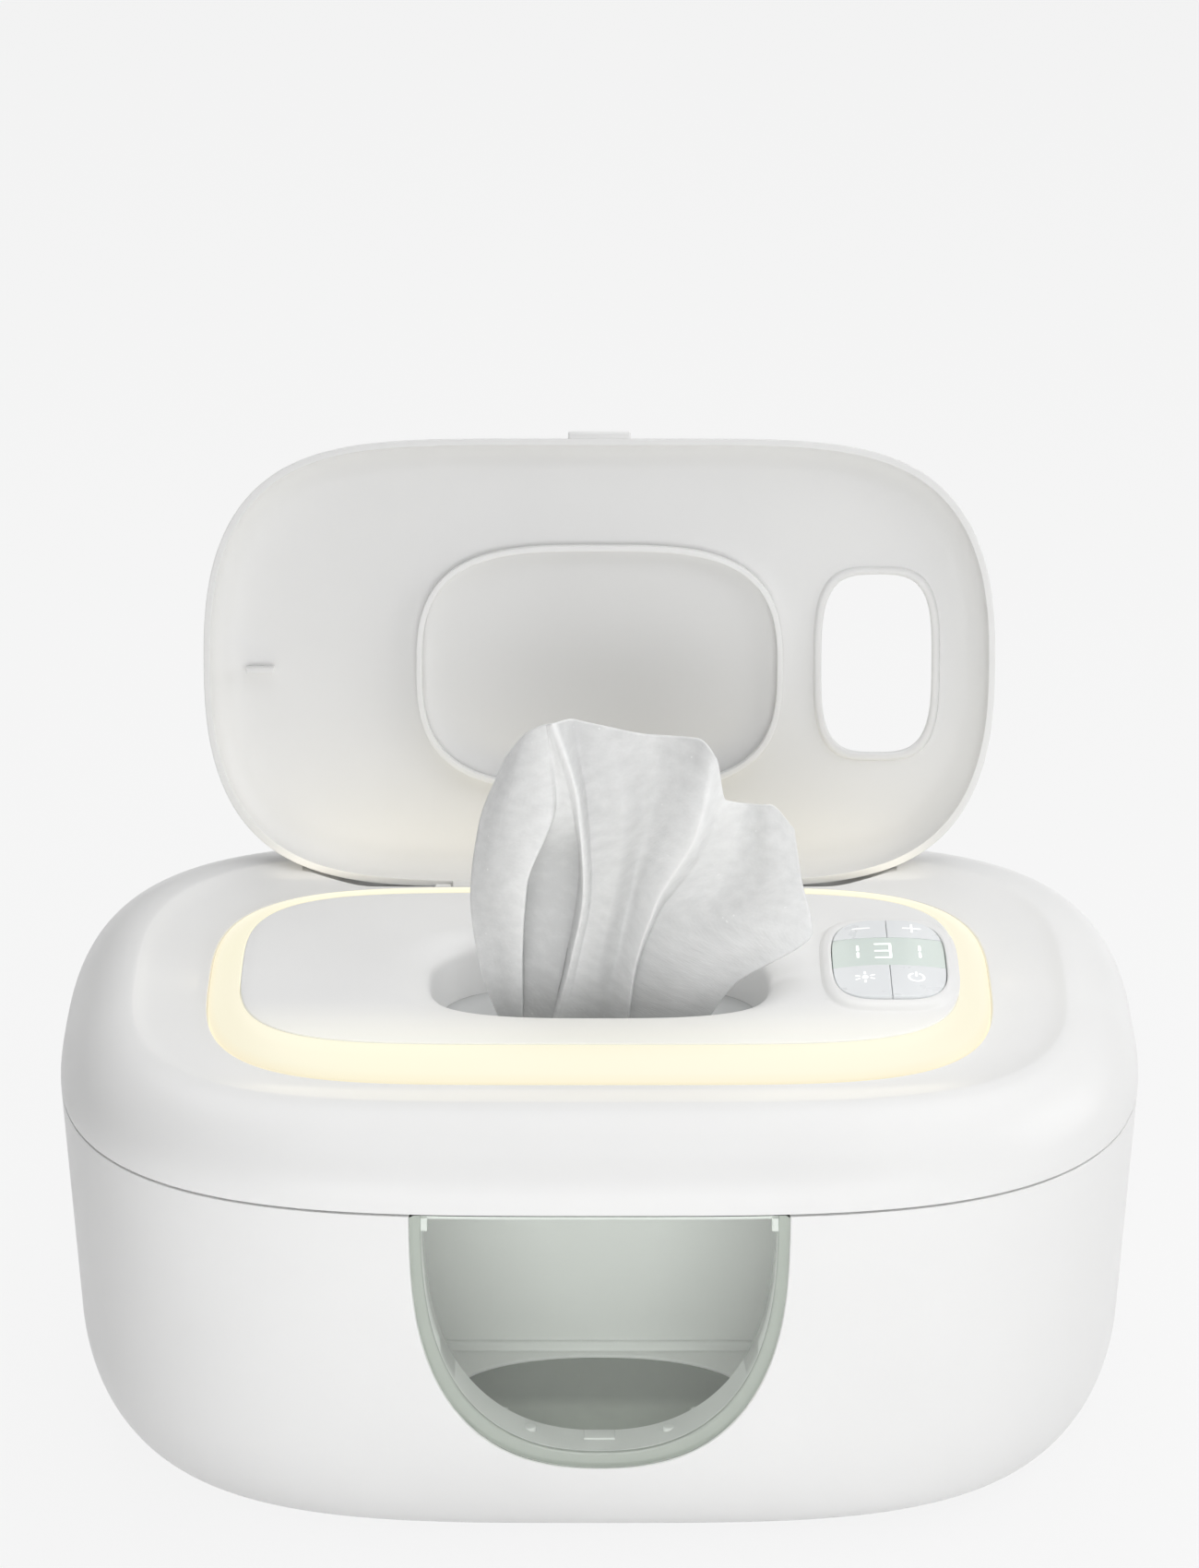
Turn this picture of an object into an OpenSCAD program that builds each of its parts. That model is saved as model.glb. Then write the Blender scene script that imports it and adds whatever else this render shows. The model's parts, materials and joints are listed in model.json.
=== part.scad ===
// Warmer and dispenser for baby wipes: a tub with a clear front window, a hinged cover that
// carries the night-light ring, the dispensing mouth and the keypad, and a flip lid over them.
// Millimetres. +X is the right end, -Y the front, +Z up, and z = 0 is the surface it stands on.

/* [Tub] */
// Width of the tub at the seam
body_w = 240; // [230:1:250]
// Depth of the tub at the seam, front to back
body_d = 172; // [168:1:176]
// Height of the seam between tub and cover
seam_z = 89; // [86:0.5:94]
// Thickness of the moulded outer shells
wall = 2.6; // [2.2:0.1:3]
// How far the sides draw in from the seam down to the base
side_taper = 4.7; // [3:0.1:6]
// Height of the rounding at the foot of the sides
foot_round_h = 33; // [28:1:36]
// Width of the rounding at the foot of the sides
foot_round_w = 23; // [18:1:24]
// How far the rubber foot ring stands proud of the base
foot_gap = 0.8; // [0.5:0.1:1.2]

/* [Window] */
// Width of the front window at the seam
window_w = 81; // [76:1:86]
// Height of the front window
window_h = 62.5; // [58:0.5:64]
// Depth of the clear rim that runs back to the tray
window_rim = 14; // [13:0.2:14.4]

/* [Cover] */
// Rise from the seam to the crest of the shoulder
shoulder_h = 16.6; // [15:0.1:18]
// Width of the light ring at its foot
ring_w = 174.2; // [170:0.2:176]
// Depth of the light ring at its foot
ring_d = 101.8; // [100:0.2:103]
// Width of the deck inside the ring
deck_w = 160; // [156:0.5:162]
// Depth of the deck inside the ring
deck_d = 79; // [76:0.5:81]
// Height of the deck above the seam
deck_rise = 18.2; // [17.8:0.1:18.6]
// Half width of the dispensing mouth
mouth_a = 38.4; // [36:0.2:40]
// Half depth of the dispensing mouth
mouth_b = 22; // [20:0.2:23]

/* [Lid] */
// Width of the flip lid
lid_w = 182.6; // [181:0.2:184]
// Depth of the flip lid
lid_d = 104.6; // [104:0.1:105.5]
// Height of the closed lid from its rim to its top
lid_h = 8.9; // [8.6:0.1:9.5]
// Angle the lid opens from closed, where it leans on the cover
lid_open = 104; // [95:1:105]

/* [Keypad] */
// Sideways place of the keypad's centre
pad_x = 64.7; // [64:0.1:65.2]
// Half width of the keypad
pad_a = 12.6; // [12:0.1:13]
// Half depth of the keypad
pad_b = 19.8; // [19:0.1:20.5]
// Travel of a key
key_travel = 0.8; // [0.5:0.1:1]

/* [Hidden] */

// Smoothness of true round parts
$fn = 48;
// Points round a large moulded outline, and round a small one
big = 56;
small = 40;
// Sliver left between pieces that seat on each other
seat = 0.05;

half_w = body_w / 2;
half_d = body_d / 2;
base_z = foot_gap;
seam_gap = 0.25;

// Exponents of the tub's outline: along the width and along the depth
p_tub = 3.5;
q_tub = 2.8;
// The crest, the light ring and the deck are squarer
p_crest = 4.4;
q_crest = 3;
p_ring = 4.95;
q_ring = 3.16;
p_deck = 5.4;
q_deck = 3.4;
p_mouth = 3;
q_mouth = 2.6;
p_lid = 5.3;
q_lid = 2.5;
// The window, the keypad, the LED board, the lid's hole and its sealing rib
p_window = 2.3;
q_window = 2.9;
p_pad = 3.6;
q_pad = 3.4;
p_led = 5.1;
q_led = 3.25;
p_hole = 3.4;
p_rib = 3.4;
q_rib = 2.86;

// Tray
tray_floor = seam_z - 60;
tray_wall = 2;
bulkhead_y = -33.7;
well_y = -58;
// Half width and half depth of the opening over the heating plate, and its exponent
well_a = 34;
well_b = 21;
p_well = 2.2;

// Axis that the cover turns on, at the back of the seam
hinge_y = half_d + 0.8;
hinge_z = seam_z - 3.5;
hinge_r = 3.2;
cover_pin_r = 1.5;
knuckle_half = 19.6;
knuckle_end = 34;

// Axis that the lid turns on, behind the light ring
lid_axis_y = 53.1;
lid_axis_z = seam_z + 12.6;
lid_knuckle_r = 1.6;
lid_pin_r = 0.8;
ear_in = 24;
ear_out = 34;
lug_out = 38;
lug_in = 20;

// The closed lid
lid_y = 0.7;
lid_rim_z = seam_z + 14.7;
lid_skin = 1.8;
lid_hole_y = 1.6;

// Keypad
pad_y = 0.5;
boss_z = seam_z + 19.4;
key_top = seam_z + 20.1;
key_base = seam_z + 15.4;
board_top = seam_z + 9.6;
strip_front = -4.8;
strip_back = 9.7;
key_gap = 0.3;

shell_white = [0.95, 0.95, 0.94];
inner_white = [0.88, 0.88, 0.87];
clear_green = [0.80, 0.86, 0.82, 0.45];
glow = [1, 0.97, 0.82];
rubber_grey = [0.55, 0.57, 0.57];
steel = [0.72, 0.73, 0.75];
board_green = [0.12, 0.36, 0.24];

// ---------------------------------------------------------------------------
// Outlines and lofts
// ---------------------------------------------------------------------------

// A closed outline |x/a|^p + |y/b|^q = 1, whose long sides and ends can be squarer or rounder.
function outline(a, b, p, q, n = big, x = 0, y = 0) = [
    for (i = [0:n - 1])
        let (c = cos(360 * i / n), s = sin(360 * i / n))
            [x + a * sign(c) * pow(abs(c), 2 / p), y + b * sign(s) * pow(abs(s), 2 / q)]
];

function at_z(points, z) = [for (pt = points) [pt[0], pt[1], z]];

// One outline of a loft, from [half width, half depth, z, p, q].
function loft_ring(s, n, x, y) = at_z(outline(s[0], s[1], s[3], s[4], n, x, y), s[2]);

// Stations with the tub's own exponents
function tub(a, b, z) = [a, b, z, p_tub, q_tub];
function mix(u, v, t) = u + (v - u) * t;

// Skins a list of stations. A tube joins its last station back to its first, so it is a band
// with a hole through it; otherwise the two ends are capped.
module loft(stations, n = big, x = 0, y = 0, tube = false) {
    rows = [for (s = stations) loft_ring(s, n, x, y)];
    count = len(rows);
    bands = tube ? count : count - 1;
    sides = [
        for (k = [0:bands - 1], i = [0:n - 1], half = [0:1])
            let (
                low = k * n,
                high = ((k + 1) % count) * n,
                j = (i + 1) % n
            )
            half == 0 ? [low + i, high + i, high + j] : [low + i, high + j, low + j]
    ];
    caps = tube ? [] : [
        [for (i = [0:n - 1]) i],
        [for (i = [0:n - 1]) count * n - 1 - i],
    ];
    polyhedron(points = [for (r = rows) each r], faces = concat(sides, caps), convexity = 8);
}

// A flat plate with the tub's kind of outline
module plate(a, b, z0, z1, p = p_tub, q = q_tub, n = big, x = 0, y = 0) {
    translate([0, 0, z0])
        linear_extrude(z1 - z0)
            polygon(outline(a, b, p, q, n, x, y));
}

// A block between two corners
module block(lo, hi) {
    translate(lo) cube(hi - lo);
}

// A rod along X
module rod(r, x0, x1, y, z) {
    translate([x0, y, z]) rotate([0, 90, 0]) cylinder(r = r, h = x1 - x0);
}

// ---------------------------------------------------------------------------
// Tub
// ---------------------------------------------------------------------------

// How far the tub's side is drawn in at a height
function foot_share(z) = max(0, (base_z + foot_round_h - z) / foot_round_h);
function inset(z) = side_taper * (seam_z - z) / (seam_z - base_z)
    + foot_round_w * (1 - sqrt(1 - pow(min(1, foot_share(z)), 2)));

function tub_at(z, in = 0) = tub(half_w - inset(z) - in, half_d - inset(z) - in, z);

round_angles = [80, 68, 56, 44, 32, 18, 0];
function round_z(angle) = base_z + foot_round_h * (1 - sin(angle));
outer_heights = [for (a = round_angles) round_z(a)];
upper_heights = [52, 70];
rim_top = seam_z - seam_gap;
tray_step = seam_z - 3.3;
flat_in = side_taper + foot_round_w;
opening_a = half_w - 36;
opening_b = half_d - 36;
ledge = 5.4;
ledge_z = base_z + 2;
floor_z = base_z + 4.6;

module tub_shell() {
    loft(concat(
        [tub(opening_a + ledge, opening_b + ledge, base_z),
            tub(half_w - flat_in, half_d - flat_in, base_z)],
        [for (z = outer_heights) tub_at(z)],
        [for (z = upper_heights) tub_at(z)],
        [tub_at(rim_top), tub_at(rim_top, wall), tub_at(tray_step, wall),
            tub_at(tray_step, wall + 1.8)],
        [for (z = [upper_heights[0]]) tub_at(z, wall + 1)],
        [for (k = [len(outer_heights) - 1:-1:2]) tub_at(outer_heights[k] + 1, wall + 0.4)],
        [tub_at(floor_z, wall + 0.6), tub(opening_a, opening_b, floor_z),
            tub(opening_a, opening_b, ledge_z), tub(opening_a + ledge, opening_b + ledge, ledge_z)]
    ), tube = true);
}

// The window's outline hangs from the seam, as half of a closed outline.
function window_outline(a, h, top) = [
    for (i = [0:24])
        let (t = 180 + 180 * i / 24, c = cos(t), s = sin(t))
            [a * sign(c) * pow(abs(c), 2 / p_window), top - (h * pow(abs(s), 2 / q_window))]
];

// A prism of the window's outline through the front wall
module window_prism(a, h, top, y0, y1) {
    translate([0, y1, 0])
        rotate([90, 0, 0])
            linear_extrude(y1 - y0)
                polygon(concat(window_outline(a, h, top), [[a, top + 4], [-a, top + 4]]));
}

screw_x = 66;
screw_y = 42.5;
screw_boss_r = 3.6;
// Radius of the hole that a screw cuts its thread in
screw_bore_r = 1.3;
knuckle_gap = 0.4;
module at_base_screws() {
    for (sx = [-1, 1], sy = [-1, 1])
        translate([sx * screw_x, sy * screw_y, 0]) children();
}

inlet_z = 22;
inlet_w = 13;
inlet_h = 10;

module lower_housing() {
    color(shell_white)
        difference() {
            union() {
                tub_shell();
                at_base_screws()
                    translate([0, 0, ledge_z + 0.4]) cylinder(r = screw_boss_r, h = 12);
                for (side = [-1, 1]) {
                    x0 = side > 0 ? knuckle_half + knuckle_gap : -knuckle_end;
                    x1 = side > 0 ? knuckle_end : -knuckle_half - knuckle_gap;
                    rod(hinge_r, x0, x1, hinge_y, hinge_z);
                    block([x0, half_d - 2, hinge_z - hinge_r], [x1, hinge_y, hinge_z]);
                }
            }
            window_prism(window_w / 2, window_h, seam_z, -half_d - 5, rim_back);
            rod(cover_pin_r + 0.03, -knuckle_end - 1, knuckle_end + 1, hinge_y, hinge_z);
            block([-knuckle_half - knuckle_gap, half_d - 2.7, hinge_z - hinge_r - 0.5],
                [knuckle_half + knuckle_gap, half_d + 6, seam_z + 1]);
            at_base_screws() cylinder(r = screw_bore_r, h = 12);
            block([-inlet_w / 2 - seat, half_d - 14, inlet_z - inlet_h / 2 - seat],
                [inlet_w / 2 + seat, half_d + 1, inlet_z + inlet_h / 2 + seat]);
        }
}

// Underside of the soft gasket that the cover closes on the tub with
gasket_z = seam_z - 1.25;

lens_play = 0.06;
lens_top = seam_z - 0.7;
lens_skin = 2;
// Thickness of the clear rim at its sides and at its foot, whose top is flush with the tray floor
lens_side = 2.5;
lens_foot = window_h - (seam_z - tray_floor);
rim_back = -half_d + lens_skin + window_rim;
// The lens is lower behind this depth, to pass under the gasket
lens_step_y = -half_d + 6.6;
// Ceiling of its hollow in front of the step and behind it
lens_ceiling = lens_top - 1.8;
lens_ceiling_back = gasket_z - 2;
peg_x = 15;

// Everything of the tub's outer form, drawn in by a depth
module tub_solid(in) {
    loft(concat(
        [for (k = [0:len(outer_heights) - 1]) tub_at(outer_heights[k], in)],
        [for (z = upper_heights) tub_at(z, in)],
        [tub_at(rim_top, in)]
    ));
}

module window_lens() {
    a = window_w / 2 - lens_play;
    color(clear_green)
        difference() {
            intersection() {
                tub_solid(0);
                window_prism(a, window_h - lens_play, seam_z, -half_d - 1, rim_back + 2);
                block([-half_w, -half_d - 2, 0], [half_w, rim_back, lens_top]);
            }
            // hollow behind the front skin, open to the tray
            intersection() {
                tub_solid(lens_skin);
                window_prism(a - lens_side, window_h - lens_foot, seam_z, -half_d - 1, rim_back + 5);
                union() {
                    block([-half_w, -half_d - 2, 0], [half_w, lens_step_y - 1, lens_ceiling]);
                    block([-half_w, -half_d - 2, 0], [half_w, 0, lens_ceiling_back]);
                }
            }
            block([-half_w, lens_step_y, gasket_z - 0.4], [half_w, 0, seam_z]);
        }
    // two pegs and a clip on the floor of the rim
    color(clear_green) {
        for (side = [-1, 1])
            translate([side * peg_x, rim_back - 4, tray_floor - 0.5]) cylinder(r = 1.3, h = 1.7);
        block([-3.4, rim_back - 4.6, tray_floor - 0.5], [3.4, rim_back - 0.7, tray_floor + 0.9]);
    }
}

tray_top_in = wall + 0.3;
function tray_at(z, in) = tub(half_w - 11 - in - 5 * (seam_z - z) / 62,
    half_d - 10.5 - in - 3.5 * (seam_z - z) / 62, z);

module tray_hollow() {
    loft([for (s = [[tray_floor, 8], [tray_floor + 1.4, 4.4], [tray_floor + 4, 1.6],
        [tray_floor + 8, 0.2], [seam_z - 20, 0], [seam_z + 1, 0]]) tray_at(s[0], tray_wall + s[1])]);
}

module inner_tray() {
    flange_z = tray_step + seat;
    color(inner_white)
        difference() {
            union() {
                loft([for (s = [[tray_floor - tray_wall, 4], [tray_floor - 0.6, 1.8],
                    [tray_floor + 2, 0.4], [tray_floor + 5, 0], [seam_z - 20, 0],
                    [flange_z + 0.1, 0]]) tray_at(s[0], s[1])]);
                loft([tub(half_w - tray_top_in, half_d - tray_top_in, flange_z),
                    tub(half_w - tray_top_in, half_d - tray_top_in, flange_z + 1.6)]);
            }
            difference() {
                tray_hollow();
                // bulkhead between the wipes bay and the window bay, with a ledge at its foot
                block([-half_w, bulkhead_y, 0], [half_w, bulkhead_y + 2, seam_z - 6]);
                block([-half_w, bulkhead_y - 1, 0], [half_w, bulkhead_y + 1, tray_floor + 2.2]);
            }
            // room for the window's rim, and a level way from the rim onto the tray floor
            window_prism(window_w / 2 + 0.3, window_h + 0.3, seam_z, -half_d, rim_back + 0.2);
            window_prism(window_w / 2 - lens_side, window_h - lens_foot, seam_z, -half_d, -60);
            plate(well_a, well_b, tray_floor - 5, tray_floor + 5, p_well, p_well, small, 0, well_y);
        }
}

plate_z = tray_floor - tray_wall;

module heating_plate() {
    color([0.42, 0.45, 0.42])
        plate(half_w - 26, half_d - 22, plate_z - 1.4, plate_z - seat);
}

module heater_film() {
    color([0.75, 0.45, 0.2])
        plate(half_w - 34, half_d - 30, plate_z - 2.1, plate_z - 1.4 - seat);
}

module insulation_sheet() {
    color([0.8, 0.8, 0.78])
        difference() {
            plate(half_w - 28, half_d - 25, plate_z - 6.2, plate_z - 2.1 - seat);
            block([18, -6, plate_z - 7], [36, 6, plate_z]);
        }
}

module thermal_cutout() {
    color("dimgray") {
        block([20, -4, plate_z - 6], [34, 4, plate_z - 2.1 - seat]);
        for (side = [-1, 1])
            translate([27, side * 4.6, plate_z - 4]) rotate([90, 0, 0])
                cylinder(r = 0.8, h = 1.2, center = true);
    }
}

board_z = base_z + 8;

module base_plate() {
    color(inner_white)
        difference() {
            union() {
                plate(opening_a + ledge - 0.2, opening_b + ledge - 0.2, base_z, ledge_z - seat);
                for (x = [-40, 40], y = [4, 40])
                    translate([x, y, ledge_z - 1]) cylinder(r = 3, h = board_z - ledge_z + 1 - seat);
            }
            at_base_screws() {
                cylinder(r = screw_r + 0.4, h = 8);
                cylinder(r = head_r + 0.3, h = head_z + head_h + seat);
            }
            foot_band(0.1, 0, base_z + groove_deep);
        }
}

// A band that follows the tub's kind of outline under the base plate
foot_a = 78;
foot_b = 46;
foot_wide = 5;
groove_deep = 0.9;
module foot_band(play, z0, z1) {
    difference() {
        plate(foot_a + play, foot_b + play, z0, z1);
        plate(foot_a - foot_wide - play, foot_b - foot_wide - play, z0 - 1, z1 + 1);
    }
}

module foot_ring() {
    color(rubber_grey) foot_band(0, 0, base_z + groove_deep - seat);
}

// Pan-head screw, head down, with its thread left plain
screw_r = 1.25;
head_r = 2.8;
head_h = 1;
head_z = base_z + 0.03;
module screw(length) {
    cylinder(r = head_r, h = head_h);
    cylinder(r = screw_r, h = length);
}

module base_screws() {
    color(steel) at_base_screws() translate([0, 0, head_z]) screw(9);
}

module power_board() {
    color(board_green) block([-46, -2, board_z], [46, 46, board_z + 1.6]);
    color("black") {
        block([-38, 8, board_z + 1.5], [-24, 22, board_z + 6]);
        block([-6, 26, board_z + 1.5], [8, 38, board_z + 4]);
    }
    color("silver")
        for (x = [18, 28]) translate([x, 20, board_z + 1.5]) cylinder(r = 4, h = 6.5);
}

inlet_in = 12;
inlet_face = half_d - inset(inlet_z) - 0.4;

module power_inlet() {
    color("black")
        difference() {
            block([-inlet_w / 2, inlet_face - inlet_in, inlet_z - inlet_h / 2],
                [inlet_w / 2, inlet_face, inlet_z + inlet_h / 2]);
            translate([0, inlet_face + 1, inlet_z]) rotate([90, 0, 0]) cylinder(r = 2.75, h = 10);
        }
    color(steel)
        translate([0, inlet_face - 1, inlet_z]) rotate([90, 0, 0]) cylinder(r = 1.05, h = 9);
}

module cover_hinge_pin() {
    color(steel) rod(cover_pin_r, -knuckle_end + 0.2, knuckle_end - 0.2, hinge_y, hinge_z);
}

// ---------------------------------------------------------------------------
// Cover
// ---------------------------------------------------------------------------

crest_in_w = 16;
crest_in_d = 21;

// The shoulder is a quarter ellipse in section, which turns squarer as it rises.
function shoulder_at(t, in = 0) =
    let (r = 1 - cos(t), k = sin(t))
        [half_w - crest_in_w * r - in * cos(t), half_d - crest_in_d * r - in * cos(t),
            seam_z + seam_gap + shoulder_h * k - in * sin(t),
            mix(p_tub, p_crest, k), mix(q_tub, q_crest, k)];

ring_a = ring_w / 2;
ring_b = ring_d / 2;
seat_z = seam_z + 12;
dish_z = seam_z + 14.1;
shoulder_angles = [0, 15, 30, 45, 60, 75, 90];
hub_a = deck_w / 2 - 2;
hub_b = deck_d / 2 - 1.5;

module cover_skin() {
    loft(concat(
        [for (t = shoulder_angles) shoulder_at(t)],
        [
            [half_w - 20, half_d - 25.5, seam_z + 15.6, p_crest, q_crest],
            [ring_a + 5, ring_b + 4.5, seam_z + 14.5, 4.7, 3.1],
            [ring_a + 0.3, ring_b + 0.3, dish_z, p_ring, q_ring],
            [ring_a + 0.3, ring_b + 0.3, seat_z, p_ring, q_ring],
            [hub_a, hub_b, seat_z, p_deck, q_deck],
            [hub_a, hub_b, seat_z - 2.2, p_deck, q_deck],
            [ring_a + 2.5, ring_b + 2.5, seat_z - 2.2, p_ring, q_ring],
            [ring_a + 6, ring_b + 5.5, seam_z + 11.8, 4.7, 3.1],
            [half_w - 21, half_d - 26, seam_z + 12.8, p_crest, q_crest],
        ],
        [for (k = [len(shoulder_angles) - 1:-1:0]) shoulder_at(shoulder_angles[k], wall)]
    ), tube = true);
}

// Section, looking along X, of the pocket that the open lid's back edge swings down into
pocket = [[51.3, 22], [51.3, 10.6], [59, 10.6], [63, 11.2], [65.4, 13.4], [67.4, 17.6], [67.4, 22]];
pocket_end = [[56, 22], [56, 15.6], [59, 15.4], [63, 15.6], [65.4, 16.6], [67.4, 17.6], [67.4, 22]];
pocket_back = [[45, 10], [50, 8.4], [63, 8.6], [69, 11.4], [70, 14], [64, 14], [58, 12.3],
    [51.8, 11.9], [47, 11.9]];
pocket_half = 52;
pocket_full = 69;

// A YZ outline, measured from the seam, drawn as a thin slice or as a bar along X
module along_x(section, x0, x1) {
    translate([x0, 0, seam_z])
        rotate([90, 0, 90])
            linear_extrude(x1 - x0)
                polygon(section);
}

module lid_pocket() {
    hull() {
        along_x(pocket, -pocket_half, pocket_half);
        for (side = [-1, 1])
            along_x(pocket_end, side * pocket_full - 0.1, side * pocket_full + 0.1);
    }
}

liner_z = seam_z + 1;
cover_boss_r = 3.4;
module at_cover_screws() {
    for (p = [[-92, -40], [92, -40], [-92, 40], [92, 40], [-42, -60], [42, -60]])
        translate([p[0], p[1], 0]) children();
}

module top_cover() {
    color(shell_white)
        difference() {
            union() {
                cover_skin();
                difference() {
                    along_x(pocket_back, -64, 64);
                    translate([0, 0, -1]) plate(hub_a, hub_b, seam_z, seam_z + 30, p_deck, q_deck);
                }
                at_cover_screws()
                    translate([0, 0, liner_z + 2 + seat]) cylinder(r = cover_boss_r, h = 10.5);
                // leaf and knuckle of the cover hinge
                rod(hinge_r, -knuckle_half, knuckle_half, hinge_y, hinge_z);
                block([-knuckle_half, half_d - 2.2, hinge_z], [knuckle_half, half_d + 1.6, seam_z + 3]);
            }
            lid_pocket();
            rod(cover_pin_r + 0.05, -knuckle_end, knuckle_end, hinge_y, hinge_z);
            at_cover_screws() translate([0, 0, liner_z]) cylinder(r = screw_bore_r, h = 9);
        }
    // lugs that hold the lid's hinge pins
    color(shell_white)
        for (side = [-1, 1], span = [[lug_in, ear_in - 0.4], [ear_out + 0.4, lug_out]]) {
            x0 = side > 0 ? span[0] : -span[1];
            x1 = side > 0 ? span[1] : -span[0];
            difference() {
                union() {
                    rod(lid_knuckle_r, x0, x1, lid_axis_y, lid_axis_z);
                    block([x0, lid_axis_y - lid_knuckle_r, seam_z + 10],
                        [x1, lid_axis_y + lid_knuckle_r, lid_axis_z]);
                }
                rod(lid_pin_r + 0.02, x0 - 1, x1 + 1, lid_axis_y, lid_axis_z);
            }
        }
}

module light_ring() {
    inner_a = deck_w / 2 + 0.1;
    inner_b = deck_d / 2 + 0.1;
    color(glow)
        loft([
            [ring_a, ring_b, seat_z + seat, p_ring, q_ring],
            [ring_a, ring_b, dish_z, p_ring, q_ring],
            [mix(ring_a, inner_a, 0.3), mix(ring_b, inner_b, 0.3), dish_z + 1.7, 5, 3.2],
            [mix(ring_a, inner_a, 0.7), mix(ring_b, inner_b, 0.7), dish_z + 3.4, 5.2, 3.3],
            [inner_a, inner_b, seam_z + deck_rise - 0.1, p_deck, q_deck],
            [inner_a, inner_b, seam_z + deck_rise - 2, p_deck, q_deck],
            [mix(ring_a, inner_a, 0.55), mix(ring_b, inner_b, 0.55), dish_z + 0.9, 5.1, 3.25],
            [mix(ring_a, inner_a, 0.24), mix(ring_b, inner_b, 0.24), seat_z + seat, 5, 3.2],
        ], tube = true);
}

led_count = 28;
led_half = 0.9;
module led_board() {
    a = mix(ring_a, deck_w / 2, 0.5);
    b = mix(ring_b, deck_d / 2, 0.5);
    z = seat_z + seat;
    color(board_green)
        difference() {
            plate(a + 1, b + 1.2, z, z + 0.8, p_led, q_led);
            plate(a - 1.8, b - 2.4, z - 1, z + 2, p_led, q_led);
        }
    color("gold")
        for (pt = outline(a - 0.4, b - 0.4, p_led, q_led, led_count))
            block([pt[0] - led_half, pt[1] - led_half, z + 0.75],
                [pt[0] + led_half, pt[1] + led_half, z + 1.3]);
}

mouth_y = -3;
seal_z = seam_z + 5;

// Top of the deck, its soft-lipped funnel down to the seal, and the underside
module deck_skin() {
    top = seam_z + deck_rise;
    a = deck_w / 2 - 0.1;
    b = deck_d / 2 - 0.1;
    difference() {
        union() {
            plate(a, b, top - 2.05, top, p_deck, q_deck);
            difference() {
                plate(a - 0.3, b - 0.3, seat_z + seat, top - 1, p_deck, q_deck);
                plate(a - 1.9, b - 1.9, seat_z - 1, top + 1, p_deck, q_deck);
            }
            loft([[mouth_a + 1, mouth_b + 1, seal_z, p_mouth, q_mouth],
                [mouth_a + 1.4, mouth_b + 1.4, seam_z + 12, p_mouth, q_mouth],
                [mouth_a + 3.4, mouth_b + 3, seam_z + 17, p_mouth, q_mouth]], small, 0, mouth_y);
        }
        loft([
            [mouth_a - 2.2, mouth_b - 2.2, seal_z - 1, p_mouth, q_mouth],
            [mouth_a - 2.0, mouth_b - 2.0, seal_z + 4, p_mouth, q_mouth],
            [mouth_a - 1.3, mouth_b - 1.3, seam_z + 14, p_mouth, q_mouth],
            [mouth_a - 0.5, mouth_b - 0.5, seam_z + 16.2, p_mouth, q_mouth],
            [mouth_a + 0.8, mouth_b + 0.8, seam_z + 17.4, p_mouth, q_mouth],
            [mouth_a + 3.4, mouth_b + 3, top + 0.05, p_mouth, q_mouth],
            [mouth_a + 3.6, mouth_b + 3.2, top + 2, p_mouth, q_mouth],
        ], small, 0, mouth_y);
    }
}

module deck() {
    pad_out = outline(pad_a + 2, pad_b + 3.2, p_pad, q_pad, small, pad_x, pad_y);
    pad_in = outline(pad_a + 0.3, pad_b + 0.3, p_pad, q_pad, small, pad_x, pad_y);
    color(shell_white)
        difference() {
            union() {
                deck_skin();
                translate([0, 0, seam_z + deck_rise - 2])
                    linear_extrude(boss_z - seam_z - deck_rise + 2) polygon(pad_out);
                at_board_posts()
                    translate([0, 0, board_top + seat])
                        cylinder(r = 1.6, h = seam_z + deck_rise - 1 - board_top);
            }
            translate([0, 0, seam_z + 13]) linear_extrude(12) polygon(pad_in);
        }
}

module at_board_posts() {
    for (y = [-24.6, 25.6]) translate([pad_x - 6, y, 0]) children();
}

slit_half = 22;
slit_w = 6;
slit_relief_r = 4.2;
module dispensing_seal() {
    a = mouth_a + 0.8;
    b = mouth_b + 0.8;
    color([0.78, 0.79, 0.79])
        difference() {
            plate(a, b, seal_z - 1.8 - seat, seal_z - seat, p_mouth, q_mouth, small, 0, mouth_y);
            translate([0, mouth_y, seal_z - 4])
                linear_extrude(6) {
                    square([2 * slit_half, slit_w], center = true);
                    for (x = [-slit_half, -16, -8, 0, 8, 16, slit_half])
                        translate([x, 0]) circle(r = slit_relief_r);
                }
        }
}

// The piece of the keypad's outline between two depths and two sides
module pad_piece(x0, x1, y0, y1, z0, z1, in = 0) {
    translate([0, 0, z0])
        linear_extrude(z1 - z0)
            intersection() {
                polygon(outline(pad_a - in, pad_b - in, p_pad, q_pad, small, pad_x, pad_y));
                translate([x0, y0]) square([x1 - x0, y1 - y0]);
            }
}

module display_lens() {
    color([0.78, 0.88, 0.84])
        pad_piece(pad_x - 20, pad_x + 20, strip_front, strip_back, key_base, key_top - 0.1);
}

module display_board() {
    color(board_green)
        block([pad_x - 13.2, pad_y - 26.6, board_top - 1.6], [pad_x + 9.6, pad_y + 26.6, board_top]);
    // seven-segment module under the strip
    color([0.15, 0.17, 0.17])
        block([pad_x - 11, strip_front + 1, board_top - 0.1], [pad_x + 9, strip_back - 1, key_base - seat]);
}

keys = [
    ["minus_key", -1, 1], ["plus_key", 1, 1], ["light_key", -1, -1], ["power_key", 1, -1],
];
switch_z = key_base - key_travel - 0.15;

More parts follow.
